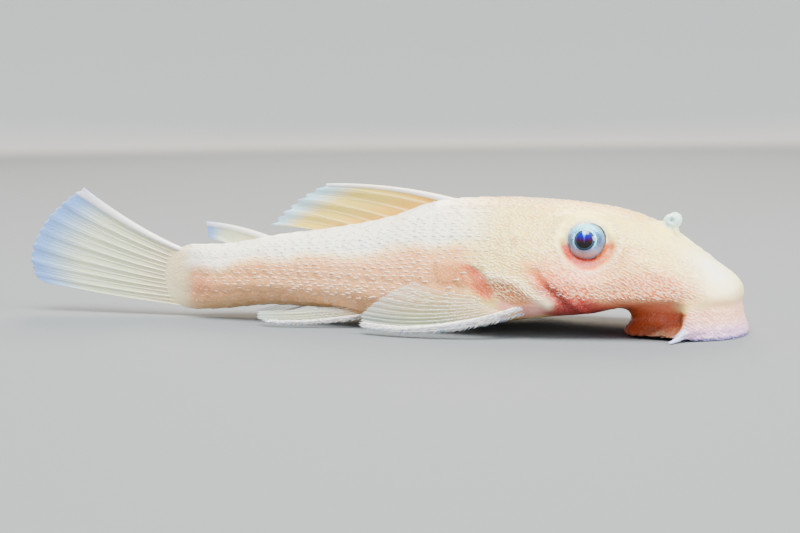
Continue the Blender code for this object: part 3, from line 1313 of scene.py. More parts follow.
    def shape_nostrils(self, clay: Clay) -> None:
        """Rounds each nostril's hood to a knob with an opening in its front and a nub under it.

        Args:
            clay: The skin.
        """
        at = self.spots(clay)
        above = ease(at.height, self.body.back.at(at.along) + 0.02, self.body.back.at(at.along) + 0.3)
        for side in Side:
            middle = on_side(self.hood, side)
            gap = clay.points - middle
            distance = np.maximum(np.linalg.norm(gap, axis=1), 0.05)
            own = ease(side.value * clay.points[:, 1], -0.02, 0.12)
            near = (distance < 1.3) * above * own
            wanted = self.hood_radius + 0.12 * (distance - self.hood_radius)
            scale = 1 + (np.minimum(wanted / distance, 1.6) - 1) * near
            clay.points = middle + gap * scale[:, None]
            clay.relax(2, share=(distance < 1.4) * own * 0.35, hold=0)
            gap = clay.points - middle
            near = np.linalg.norm(clay.points - on_side(self.nostril, side), axis=1)
            clay.points -= gap * (0.55 * ease(near, 0.22, 0.08))[:, None]
        at = self.spots(clay)
        rim = 0.03 * hump(at.near(*self.nostril), 0.27, 0.07)
        nub = 0.13 * hump(at.near(*self.nub), 0, 0.22)
        clay.push(rim + nub)

    def plate(self, at: Spots) -> tuple[Array, Array, Array]:
        """Finds where points lie on the bony plates of the flank.

        Args:
            at: The points' places.

        Returns:
            How far back on its plate each point lies, how far up it, and how near a row's edge it is.
        """
        bounds = np.array(PLATE_ROWS)
        row = np.clip(np.searchsorted(-bounds, -at.angle) - 1, 0, len(bounds) - 2)
        top, bottom = bounds[row], bounds[row + 1]
        up = np.clip((at.angle - bottom) / (top - bottom), 0, 1)
        curved = at.along - PLATE_CURVE * (1 - (2 * up - 1) ** 2)
        back = (curved / PLATE_PITCH + 0.5 * (row % 2)) % 1.0
        return back, up, np.maximum(hump(up, 0, 0.1), hump(up, 1, 0.1))

    def shape_plates(self, clay: Clay) -> None:
        """Lays the rows of overlapping bony plates along the flanks.

        Args:
            clay: The skin.
        """
        at = self.spots(clay)
        back, up, edge = self.plate(at)
        armour = ease(at.along, PLATES_START, PLATES_START + 2.0) * ease(at.along, 36.2, 35.0)
        lowest = np.where(at.along > 27.5, -1.6, -1.05)
        armour = armour * ease(at.angle, lowest - 0.12, lowest + 0.12)
        step = 0.05 * back**1.6 * ease(back, 1.0, 0.9)
        keel = 0.03 * hump(up, 0.5, 0.18) * ease(at.along, 18, 22)
        clay.push((step + keel - 0.03 * edge - 0.015) * armour)

    def shape_tail(self, clay: Clay) -> None:
        """Thins the end of the body so that it passes into the tail fin.

        Args:
            clay: The skin.
        """
        along = SNOUT - clay.points[:, 0]
        clay.points[:, 1] *= 1 - 0.93 * ease(along, 32.6, 36.5) ** 1.4
        clay.points[:, 2] = 2.5 + (clay.points[:, 2] - 2.5) * (1 - 0.2 * ease(along, 34.9, 36.4))
        stretch = ease(along, 34.6, TAIL_ROOT)
        clay.points[:, 0] -= 0.5 * stretch * hump(clay.points[:, 2], 2.5, 1.5)

    def paint(self) -> tuple[Array, Array]:
        """Colours the skin.

        Returns:
            A colour for each point, and how granular the skin is there.
        """
        at = self.where
        cloud = SoftNoise(11).at(self.points, 1.5)
        fine = SoftNoise(12).at(self.points, 0.5)
        paint = Paint(len(self.points), "fff492")
        behind = ease(at.along, 12.5, 17.0)
        edge = self.flank_edge.at(at.along) + 0.35 * cloud
        above = ease(at.height, edge - 0.5, edge + 0.6)
        # The back above the flank edge is painted bluish near-white: partly the back's own pale colour,
        # partly painted light from the overhead lamp.
        paint.lay(behind * above * 0.9, "f2fbff")
        paint.lay(behind * (1 - above), "eeac72")
        paint.lay(behind * (1 - above) * ease(cloud, 0.1, 0.6) * 0.45, "dc9658")
        paint.lay(behind * ease(at.height, 1.7, 0.6), "eebc80")
        paint.lay(hump(at.along, 34.0, 1.5) * hump(at.height, 2.4, 1.2) * 0.45, "ee7850")
        paint.lay(ease(at.along, 34.4, 35.8), "f0e6bc")
        self.paint_head(paint, at, cloud, fine)
        self.paint_mouth(paint, at, cloud)
        grain = 0.95 * ease(at.along, 15.2, 12.6) * ease(at.height, 1.9, 2.6)
        grain = grain * ease(at.along, 0.9, 2.6)
        grain = grain * (1 - 0.75 * ease(at.angle, 0.75, 1.1) * ease(at.along, 11.5, 9.5))
        out, away, _, _ = self.round_eye(self.points)
        grain *= 1 - 0.95 * ease(away, 1.9, 1.6) * (out > -0.8)
        gill = hump(self.gill.measure(at.along, at.height)[0], 0, 0.6) * ease(at.across, 2.2, 3.2)
        smooth = np.maximum(at.patch(8.9, 1.6, 2.6, 1.0), self.axil(at))
        grain = grain * (1 - 0.85 * np.maximum(smooth, gill))
        flank = 0.25 * ease(at.along, 12.6, 15.2) * ease(at.angle, -1.2, -0.8)
        lips = 0.5 * ease(at.height, 2.0, 1.7) * ease(self.lip_edge(at), 0.1, -0.2)
        return paint.rows, np.clip(grain + flank + lips, 0, 1)

    @staticmethod
    def axil(at: Spots) -> Array:
        """The smooth hollow over the pectoral fin's root."""
        return at.patch(14.3, 3.15, 1.5, 0.62, turn=38)

    def paint_head(self, paint: Paint, at: Spots, cloud: Array, fine: Array) -> None:
        """Colours the head and the shoulder.

        Args:
            paint: The skin's colours.
            at: The points' places.
            cloud: Slow noise.
            fine: Quick noise.
        """
        head = ease(at.along, 15.0, 12.0)
        golden = hump(at.angle, 1.55, 0.42) * ease(at.along, 3.6, 6.5) * ease(at.along, 18.5, 13.5)
        paint.lay(golden, "d8a800")
        paint.lay(head * at.patch(6.6, 3.3, 5.2, 1.5, turn=9) * (0.75 + 0.25 * cloud), "f2985c")
        paint.lay(head * at.patch(4.6, 2.9, 2.8, 0.9) * 0.6, "ee7a58")
        margin = ease(at.height, 2.7, 2.0) * ease(at.along, 2.4, 3.6) * ease(at.along, 10.0, 8.4)
        paint.lay(margin, "ec7c50")
        paint.lay(head * at.patch(6.4, 4.9, 1.7, 0.5) * 0.6, "f4a25a")
        paint.lay(head * at.patch(8.9, 2.9, 1.8, 1.0, turn=25) * 0.8, "e8643c")
        paint.lay(head * at.patch(8.0, 3.75, 0.8, 0.55) * 0.8, "e45e30")
        paint.lay(at.patch(11.9, 5.4, 1.4, 0.6) * ease(fine, -0.2, 0.5) * 0.7, "dc9838")
        paint.lay(hump(at.near(1.5, 1.5, 3.5), 0, 1.7), "fcffff")
        paint.lay(ease(at.along, 2.6, 0.4) * hump(at.height, 1.9, 0.5) * 0.9, "eebc88")
        out, away, turn, _ = self.round_eye(self.points)
        skin = (out > -0.9).astype(float)
        below = ease(np.sin(turn), 0.25, -0.3)
        crescent = ease(away, 1.66, 1.42) * below * skin
        paint.lay(crescent, "c02a10")
        ahead = crescent * ease(np.cos(turn), 0.2, 0.7)
        paint.lay(ahead * 0.85, "c86a24")
        paint.lay(hump(away, 1.84, 0.14) * below * skin * 0.6, "ffe8cc")
        paint.lay(ease(away, 1.42, 1.22) * (1 - below) * skin * 0.8, "d8d8c0")
        flank = ease(at.across, 2.2, 3.2)
        gap, share = self.gill.measure(at.along, at.height)
        paint.lay(hump(gap, 0, 0.5) * ease(share, -0.2, 0.3) * flank, "e4602c")
        paint.lay(hump(gap, 0, 0.8) * ease(share, 0.25, 0.75) * flank * 0.95, "c02c10")
        throat = at.patch(8.9, 1.75, 2.7, 1.0, turn=14)
        paint.lay(throat, "a01c0c")
        paint.lay(throat * ease(at.along, 9.0, 7.0) * 0.6, "dc5c34")
        paint.lay(ease(at.height, 1.5, 1.0) * hump(at.along, 8.8, 2.0) * 0.7, "b85230")
        paint.lay(at.patch(11.6, 1.9, 1.5, 0.8) * flank, "f4a498")
        paint.lay(ease(at.height, 1.3, 0.9) * hump(at.along, 12.5, 2.4) * 0.8, "b4703c")
        paint.lay(at.patch(9.0, 2.1, 2.1, 0.7, turn=24) * flank, "a81c0e")
        gap = self.shoulder.measure(at.along, at.height)[0]
        paint.lay(hump(gap, 0, 0.3) * flank, "fff2cc")
        tan = at.patch(12.2, 2.65, 1.4, 0.6, turn=22)
        paint.lay(tan * flank, "c07436")
        axil = self.axil(at)
        paint.lay(axil * flank, "c4521f")
        paint.lay(axil * ease(at.height, 2.9, 3.8) * 0.8 * flank, "dc4a34")
        paint.lay(at.patch(16.0, 3.5, 1.6, 0.7, turn=10) * 0.8 * flank, "cc7c3c")
        nostril = at.near(*self.nostril)
        hood = ease(at.near(*self.hood), 0.62, 0.46)
        nub = ease(at.near(*self.nub), 0.3, 0.15)
        paint.lay(np.maximum(hood, nub) * 0.9, "b4ecff")
        paint.lay(ease(nostril, 0.24, 0.08) * 0.6, "4f9ad0")

    def paint_mouth(self, paint: Paint, at: Spots, cloud: Array) -> None:
        """Colours the lips.

        Args:
            paint: The skin's colours.
            at: The points' places.
            cloud: Slow noise.
        """
        lips = ease(at.height, 2.1, 1.5) * ease(at.along, 7.6, 7.0)
        edge = self.lip_edge(at) + 0.08 * cloud
        behind = ease(edge, -0.12, 0.12)
        paint.lay(lips * (1 - behind), "fcbcaa")
        paint.lay(lips * (1 - behind) * ease(at.height, 1.3, 0.4) * 0.85, "c4a0ec")
        lower = ease(at.height, 1.75, 1.5) * ease(at.along, 7.6, 7.0) * behind
        paint.lay(lower, "d0561c")
        paint.lay(lower * ease(at.height, 1.05, 0.3) * ease(at.along, 6.0, 4.2) * 0.9, "7c5640")
        paint.lay(lower * hump(edge, 0.22, 0.2), "8c4416")
        paint.lay(lips * ease(at.height, 0.36, 0.08) * (1 - behind) * 0.9, "4648b0")
        paint.lay(lower * ease(at.height, 0.2, 0.05) * 0.6, "c89484")
        feeler = ease(at.across, 4.0, 4.4) * ease(at.height, 1.2, 0.8) * ease(at.along, 4.5, 3.9)
        paint.lay(feeler, "a8bcf4")

    def dress(self, mesh: Mesh, finish: Material) -> Object:
        """Puts the skin into the scene in the solids' place.

        Args:
            mesh: The skin.
            finish: Its material.

        Returns:
            The piece.
        """
        piece = add_piece("skin", mesh, finish)
        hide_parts(*SKIN_NODES)
        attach(piece, "root")
        return piece


# Eyes


@dataclass
class Eye:
    """One eyeball with a slight cornea.

    Attributes:
        side: Which flank it is on.
        place: Its middle: along, across, height, in millimetres.
        radius: Its radius.
        forward: How far its axis turns towards the snout, in degrees.
        upward: How far it turns up.
        bulge: How far the cornea stands out.
    """

    side: Side
    place: Triple = (8.24, 3.5, 5.5)
    radius: float = 1.14
    forward: float = 9.0
    upward: float = 10.0
    bulge: float = 0.045

    UV_SHARE = 0.11
    PUPIL_ANGLE = math.radians(24.0)

    def axis(self) -> Vector:
        """The direction in which the eye looks."""
        turn, rise = math.radians(self.forward), math.radians(self.upward)
        return Vector(
            (
                math.sin(turn) * math.cos(rise),
                self.side.value * math.cos(turn) * math.cos(rise),
                math.sin(rise),
            )
        )

    def build(self) -> Mesh:
        """Makes the eyeball with a flat map of its iris.

        Returns:
            The eyeball, in metres.
        """
        axis = self.axis()
        aim = axis.to_track_quat("Z", "Y").to_matrix().to_4x4()
        mesh = bmesh.new()
        bmesh.ops.create_uvsphere(mesh, u_segments=96, v_segments=72, radius=1.0, matrix=aim)
        up = (Vector((0, 0, 1)) - axis * axis.z).normalized()
        ahead = axis.cross(up) * -self.side.value
        ahead *= 1 if ahead.x > 0 else -1
        layer = mesh.loops.layers.uv.new("iris")
        along, across, height = self.place
        middle = Vector((SNOUT - along, self.side.value * across, height))
        for face in mesh.faces:
            for loop in face.loops:
                direction = loop.vert.co.normalized()
                angle = axis.angle(direction)
                flat = Vector((direction.dot(ahead), direction.dot(up)))
                flat = flat.normalized() if flat.length > 1e-6 else Vector((0.0, 0.0))
                loop[layer].uv = Vector((0.5, 0.5)) + flat * (angle / self.PUPIL_ANGLE * self.UV_SHARE)
        for vert in mesh.verts:
            angle = axis.angle(vert.co)
            lift = self.bulge * float(ease(np.array(angle), math.radians(48), math.radians(8)))
            vert.co = (middle + vert.co.normalized() * (self.radius + lift)) * MM
        made = bpy.data.meshes.new("eye")
        mesh.to_mesh(made)
        mesh.free()
        return made

    def dress(self, mesh: Mesh, finish: Material) -> Object:
        """Puts the eyeball into the scene.

        Args:
            mesh: The eyeball.
            finish: Its material.

        Returns:
            The piece.
        """
        piece = add_piece("eyeball_" + self.side.word, mesh, finish)
        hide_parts("eye_" + self.side.word)
        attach(piece, "root")
        return piece


# Fins

Line = tuple[tuple[float, float, float, float], ...]


@dataclass
class Fin:
    """A fan of branching rays with thin skin between them, in millimetres.

    Attributes:
        node: The CAD node that it stands for.
        rays: How many rays it has.
        roots: The line of roots as share, along, across, height.
        tips: The line of tips, likewise.
        bow: How far the rays bend at the middle: along, across, height.
        side: The sign of Y for a paired fin, and 1 for the others.
        notch: How far the margin dips between rays.
        pleat: How far every second ray stands out sideways.
        spine: Thickness of the first ray.
        spine_width: Half its width, as a share of the distance between rays.
        ray_size: Thickness of the other rays.
        ray_width: Half their width, as a share of the distance between them.
        skin_size: Thickness of the membranes.
        fork: Where the rays fork, as a share of their length; above 1 for not at all.
        columns: Columns of faces per ray.
        rows: Rows of faces.
    """

    node: str
    rays: int
    roots: Line
    tips: Line
    bow: Triple = (0.0, 0.0, 0.0)
    side: int = 1
    notch: float = 0.3
    pleat: float = 0.03
    spine: float = 0.34
    spine_width: float = 0.3
    ray_size: float = 0.15
    ray_width: float = 0.1
    skin_size: float = 0.04
    fork: float = 0.4
    columns: int = 12
    rows: int = 72

    @staticmethod
    def line(points: Line, share: Array) -> Array:
        """Points of a smooth line.

        Args:
            points: The line's table.
            share: How far along it, from 0 to 1.

        Returns:
            Along, across and height, one row for each share.
        """
        table = np.array(points)
        places = tuple(table[:, 0])
        return np.stack([SmoothCurve(places, tuple(table[:, i])).at(share) for i in (1, 2, 3)], axis=1)

    def ray_height(self, u: Array, v: Array) -> Array:
        """How much of a ray there is at each place.

        Args:
            u: Across the rays, from 0 to 1.
            v: Out along the rays, from 0 to 1.

        Returns:
            1 on the middle of a ray and 0 on the membrane.
        """
        step = u * (self.rays - 1)
        nearest = np.round(step)
        off = step - nearest
        branching = np.where((nearest < 0.5) | (self.fork > 1), 0.0, 1.0)
        first = 0.17 * ease(v, self.fork, self.fork + 0.4) * branching
        second = 0.085 * ease(v, self.fork + 0.3, 1.1) * branching
        width = self.ray_width * (1 - 0.3 * v)
        branch = np.abs(np.abs(off) - first)
        twig = np.abs(branch - second)
        return np.exp(-((twig / width) ** 2)) * (step > 0.6)

    def thickness(self, u: Array, v: Array) -> tuple[Array, Array, Array]:
        """How thick the fin is.

        Args:
            u: Across the rays, from 0 to 1.
            v: Out along the rays, from 0 to 1.

        Returns:
            The thickness, how much of a ray there is, and how much of the first ray.
        """
        ray = self.ray_height(u, v)
        across = u * (self.rays - 1) / self.spine_width - 1
        lead = np.sqrt(np.clip(1 - across**2, 0, 1))
        length = np.linalg.norm(self.line(self.tips, u) - self.line(self.roots, u), axis=1)
        joints = 1 + 0.12 * np.cos(2 * math.pi * v * length / 0.36) * ease(v, 0.1, 0.3)
        size = self.ray_size * (1 - 0.7 * v) * joints
        thick = self.skin_size + (size - self.skin_size) * ray
        thick = np.maximum(thick, lead * self.spine * (1 - 0.6 * v) * ease(v, -0.06, 0.1) + 0.02)
        return thick * (1 - 0.6 * ease(v, 0.93, 1.0)), ray, lead

    def face(self, u: Array, v: Array, sign: Array) -> tuple[Array, Array, Array, Array]:
        """Finds places on the fin's two faces.

        Args:
            u: Across the rays, from 0 to 1.
            v: Out along the rays, from 0 to 1.
            sign: 1 for the face that looks away from the body and -1 for the other.

        Returns:
            The places, the directions out of the face, along the rays and across them.
        """
        spot = self.place(u, v)
        step = 0.004
        run = self.place(u, np.minimum(v + step, 1)) - self.place(u, np.maximum(v - step, 0))
        wide = self.place(np.minimum(u + step, 1), v) - self.place(np.maximum(u - step, 0), v)
        run /= np.linalg.norm(run, axis=1)[:, None]
        wide /= np.linalg.norm(wide, axis=1)[:, None]
        out = np.cross(run, wide)
        out /= np.linalg.norm(out, axis=1)[:, None]
        out *= (np.where(out[:, 1] * self.side < 0, -1, 1) * sign)[:, None]
        return spot + out * (self.thickness(u, v)[0] / 2)[:, None], out, run, wide

    def place(self, u: Array, v: Array) -> Array:
        """The middle sheet of the fin.

        Args:
            u: Across the rays, from 0 to 1.
            v: Out along the rays, from 0 to 1.

        Returns:
            Points in the frame, in millimetres.
        """
        root, tip = self.line(self.roots, u), self.line(self.tips, u)
        reach = tip - root
        length = np.linalg.norm(reach, axis=1)
        step = u * (self.rays - 1)
        dip = (1 - np.cos(2 * math.pi * step)) / 2
        shrink = 1 - dip * self.notch / length
        bend = np.outer(4 * v * (1 - v) * (1 - 0.7 * u), self.bow)
        spot = root + reach * (v * shrink)[:, None] + bend
        fold = self.pleat * np.cos(math.pi * step) * ease(v, 0.0, 0.35)
        wave = 0.5 * self.pleat * np.sin(v * 6.0 + step * 2.1) * ease(v, 0.3, 1.0)
        out = self.out_direction()
        spot = spot + np.outer(fold * (1 - 0.4 * v) + wave, out)
        spot[:, 0] = SNOUT - spot[:, 0]
        spot[:, 1] *= self.side
        return spot

    def out_direction(self) -> Array:
        """The direction across the sheet, in which it pleats."""
        ends = self.line(self.roots, np.array([0.0, 1.0])), self.line(self.tips, np.array([0.0, 1.0]))
        out = np.cross(ends[1][0] - ends[0][0], ends[1][1] - ends[0][0])
        out /= np.linalg.norm(out)
        return out if out[1] > 0 else -out

    def build(self) -> Mesh:
        """Makes the fin's middle sheet with its attributes.

        Returns:
            The sheet, in metres, with its thickness in the attribute "thick".
        """
        mesh = bmesh.new()
        across = self.columns * (self.rays - 1)
        bmesh.ops.create_grid(mesh, x_segments=across, y_segments=self.rows, size=0.5)
        made = bpy.data.meshes.new(self.node)
        mesh.to_mesh(made)
        mesh.free()
        flat = mesh_points(made)
        u, v = np.clip(flat[:, 0] + 0.5, 0, 1), np.clip(flat[:, 1] + 0.5, 0, 1)
        points = self.place(u, v)
        points[:, 2] = np.maximum(points[:, 2], 0.06)
        made.vertices.foreach_set("co", (points * MM).ravel())
        made.update()
        thick, ray, lead = self.thickness(u, v)
        set_attribute(made, "thick", thick)
        set_attribute(made, "ray", np.clip(ray * (1 - 0.3 * v), 0, 1) * ease(v, 0.0, 0.22))
        set_attribute(made, "reach", v)
        set_attribute(made, "lead", np.clip(lead * 1.6, 0, 1) * (1 - 0.25 * v))
        return made

    def dress(self, mesh: Mesh, finish: Material) -> Object:
        """Gives the sheet its thickness and puts it into the scene.

        Args:
            mesh: The sheet.
            finish: Its material.

        Returns:
            The piece.
        """
        thick = np.empty(len(mesh.vertices))
        mesh.attributes["thick"].data.foreach_get("value", thick)
        piece = add_piece(self.node.replace("_fin", "_rays"), mesh, finish)
        group = piece.vertex_groups.new(name="thickness")
        most = float(thick.max())
        for index, value in enumerate(thick):
            group.add([index], float(value) / most, "REPLACE")
        mesh.attributes.remove(mesh.attributes["thick"])
        shell = piece.modifiers.new("thickness", "SOLIDIFY")
        shell.thickness = most * MM
        shell.offset = 0
        shell.vertex_group = "thickness"
        shell.use_even_offset = False
        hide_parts(self.node)
        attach(piece, "root")
        return piece


def dorsal_fin() -> Fin:
    """The half-folded fin of the back."""
    return Fin(
        "dorsal_fin", rays=8, roots=((0, 16.7, 0, 7.6), (0.5, 21.2, 0, 6.1), (1, 24.8, 0, 5.4)),
        tips=(
            (0, 25.6, 0, 8.55),
            (0.3, 27.0, 0, 7.85),
            (0.6, 28.1, 0, 7.1),
            (0.85, 28.9, 0, 6.4),
            (1, 29.4, 0, 5.95),
        ),
        bow=(0, 0, 0.3), notch=0.26, pleat=0.07, spine=0.42, spine_width=0.26, columns=16,
    )


def adipose_fin() -> Fin:
    """The small fin behind it: a stout spine with a flap of skin."""
    return Fin(
        "adipose_fin", rays=2, roots=((0, 28.8, 0, 5.0), (1, 31.6, 0, 4.5)),
        tips=((0, 33.9, 0, 6.1), (1, 33.7, 0, 5.0)), bow=(0, 0, 0.2), notch=0.0, pleat=0.0,
        spine=0.36, spine_width=0.14, columns=24, rows=48,
    )


def caudal_fin() -> Fin:
    """The tail fin, its lower lobe a little longer."""
    return Fin(
        "caudal_fin", rays=16, roots=((0, 35.4, 0, 4.3), (0.5, 35.8, 0, 2.5), (1, 35.4, 0, 0.65)),
        tips=(
            (0, 42.7, 0, 8.2),
            (0.2, 44.3, 0, 7.2),
            (0.45, 46.0, 0, 5.5),
            (0.7, 46.8, 0, 3.6),
            (0.9, 46.5, 0, 2.3),
            (1, 45.8, 0, 1.9),
        ),
        bow=(0, 0, -0.3), notch=0.12, spine=0.36, spine_width=0.6, ray_size=0.18, columns=12,
    )


def anal_fin() -> Fin:
    """The small fin under the tail."""
    return Fin(
        "anal_fin", rays=5, roots=((0, 25.6, 0, 1.25), (1, 27.6, 0, 1.25)),
        tips=((0, 29.3, 0, 0.28), (1, 30.6, 0, 0.5)), notch=0.15, spine=0.24, ray_size=0.12,
        rows=48,
    )


def pectoral_fin(side: Side) -> Fin:
    """The fin behind the gills, folded back along the flank, its white spine lowest."""
    return Fin(
        "pectoral_fin_" + side.word, rays=11, roots=((0, 10.5, 4.85, 2.0), (1, 13.3, 4.6, 2.25)),
        tips=((0, 21.2, 5.5, 0.45), (0.3, 21.4, 5.3, 1.0), (0.7, 20.3, 5.0, 2.1), (1, 18.3, 4.9, 3.15)),
        bow=(0, 1.2, -0.65), side=side.value, notch=0.14, pleat=0.012, spine=0.62, spine_width=0.88,
        ray_size=0.09, ray_width=0.07, fork=0.45, columns=12, rows=96,
    )


def pelvic_fin(side: Side) -> Fin:
    """The fin beside the belly."""
    return Fin(
        "pelvic_fin_" + side.word, rays=6, roots=((0, 21.3, 2.5, 0.85), (1, 22.6, 2.4, 1.3)),
        tips=((0, 28.0, 3.9, 0.3), (0.5, 28.9, 3.5, 0.5), (1, 29.1, 2.95, 0.85)),
        bow=(0, 0.35, -0.2), side=side.value, notch=0.14, pleat=0.015, spine=0.36, spine_width=0.4,
        ray_size=0.1, ray_width=0.08,
    )


# The coat of spines


@dataclass
class Spines:
    """Tiny spines that are gathered and then made as one piece.

    Attributes:
        name: The piece's name.
        sides: How many sides each spine has.
        roots: Where each one grows from, in millimetres.
        aims: The direction each one points in.
        outs: The direction out of the skin at its root.
        sizes: Its length, width and height.
        tints: Its colour.
        maps: Its root's place on the unwrapped skin, from 0 to 1.
    """

    PATCH = 0.003

    name: str
    sides: int = 5
    roots: list = field(default_factory=list)
    aims: list = field(default_factory=list)
    outs: list = field(default_factory=list)
    sizes: list = field(default_factory=list)
    tints: list = field(default_factory=list)
    maps: list = field(default_factory=list)

    def template(self) -> tuple[Array, Array]:
        """One spine of length, width and height 1, with its root at the origin.

        Returns:
            Its points, and its faces as triangles.
        """
        mesh = bmesh.new()
        bmesh.ops.create_cone(
            mesh, cap_ends=True, cap_tris=True, segments=self.sides, radius1=0.5, radius2=0.12, depth=1.0
        )
        waist = bmesh.ops.bisect_plane(
            mesh,
            geom=mesh.verts[:] + mesh.edges[:] + mesh.faces[:],
            plane_co=(0, 0, -0.2),
            plane_no=(0, 0, 1),
        )
        for item in waist["geom_cut"]:
            if isinstance(item, bmesh.types.BMVert):
                item.co.x *= 1.25
                item.co.y *= 1.25
        bmesh.ops.triangulate(mesh, faces=mesh.faces)
        mesh.verts.index_update()
        points = np.array([(v.co.z + 0.5, v.co.x, v.co.y) for v in mesh.verts])
        faces = np.array([[v.index for v in f.verts] for f in mesh.faces])
        mesh.free()
        return points, faces

    def build(self) -> Mesh:
        """Makes all spines as one mesh.

        Returns:
            The mesh, in metres, with the attribute "tint" and the map "OFBake".
        """
        shape, faces = self.template()
        count = len(self.roots)
        aims, outs = np.array(self.aims, float), np.array(self.outs, float)
        aims /= np.linalg.norm(aims, axis=1)[:, None]
        wide = np.cross(outs, aims)
        wide /= np.linalg.norm(wide, axis=1)[:, None]
        tall = np.cross(aims, wide)
        sizes = np.array(self.sizes, float)
        axes = np.stack([aims, wide, tall], axis=1) * sizes[:, :, None]
        points = np.einsum("pk,nkc->npc", shape, axes) + np.array(self.roots, float)[:, None, :]
        points[:, :, 2] = np.maximum(points[:, :, 2], 0.0)
        every = (faces[None] + (np.arange(count) * len(shape))[:, None, None]).reshape(-1, 3)
        made = bpy.data.meshes.new(self.name)
        made.from_pydata((points.reshape(-1, 3) * MM).tolist(), [], every.tolist())
        made.update()
        tints = np.repeat(np.array(self.tints, float), len(shape), axis=0)
        set_attribute(made, "tint", tints)
        flat = shape[:, :2] - shape[:, :2].min(axis=0)
        flat = flat / flat.max(axis=0) * self.PATCH
        spots = np.array(self.maps, float)[:, None, :] + flat[None]
        layer = made.uv_layers.new(name="OFBake")
        layer.data.foreach_set("uv", spots.reshape(-1, 2)[every.ravel()].ravel())
        return made

    def add(self, root: Array, aim: Array, out: Array, size: Triple, tint: Array, spot: tuple) -> None:
        """Adds one spine.

        Args:
            root: Where it grows from.
            aim: Where it points.
            out: The direction out of the skin.
            size: Its length, width and height.
            tint: Its colour.
            spot: Its root's place on the unwrapped skin.
        """
        self.roots.append(root)
        self.aims.append(aim)
        self.outs.append(out)
        self.sizes.append(size)
        self.tints.append(tint)
        self.maps.append(spot)

    def dress(self, mesh: Mesh, finish: Material) -> Object:
        """Puts the spines into the scene.

        Args:
            mesh: The spines.
            finish: Their material.

        Returns:
            The piece.
        """
        piece = add_piece(self.name, mesh, finish)
        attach(piece, "root")
        return piece


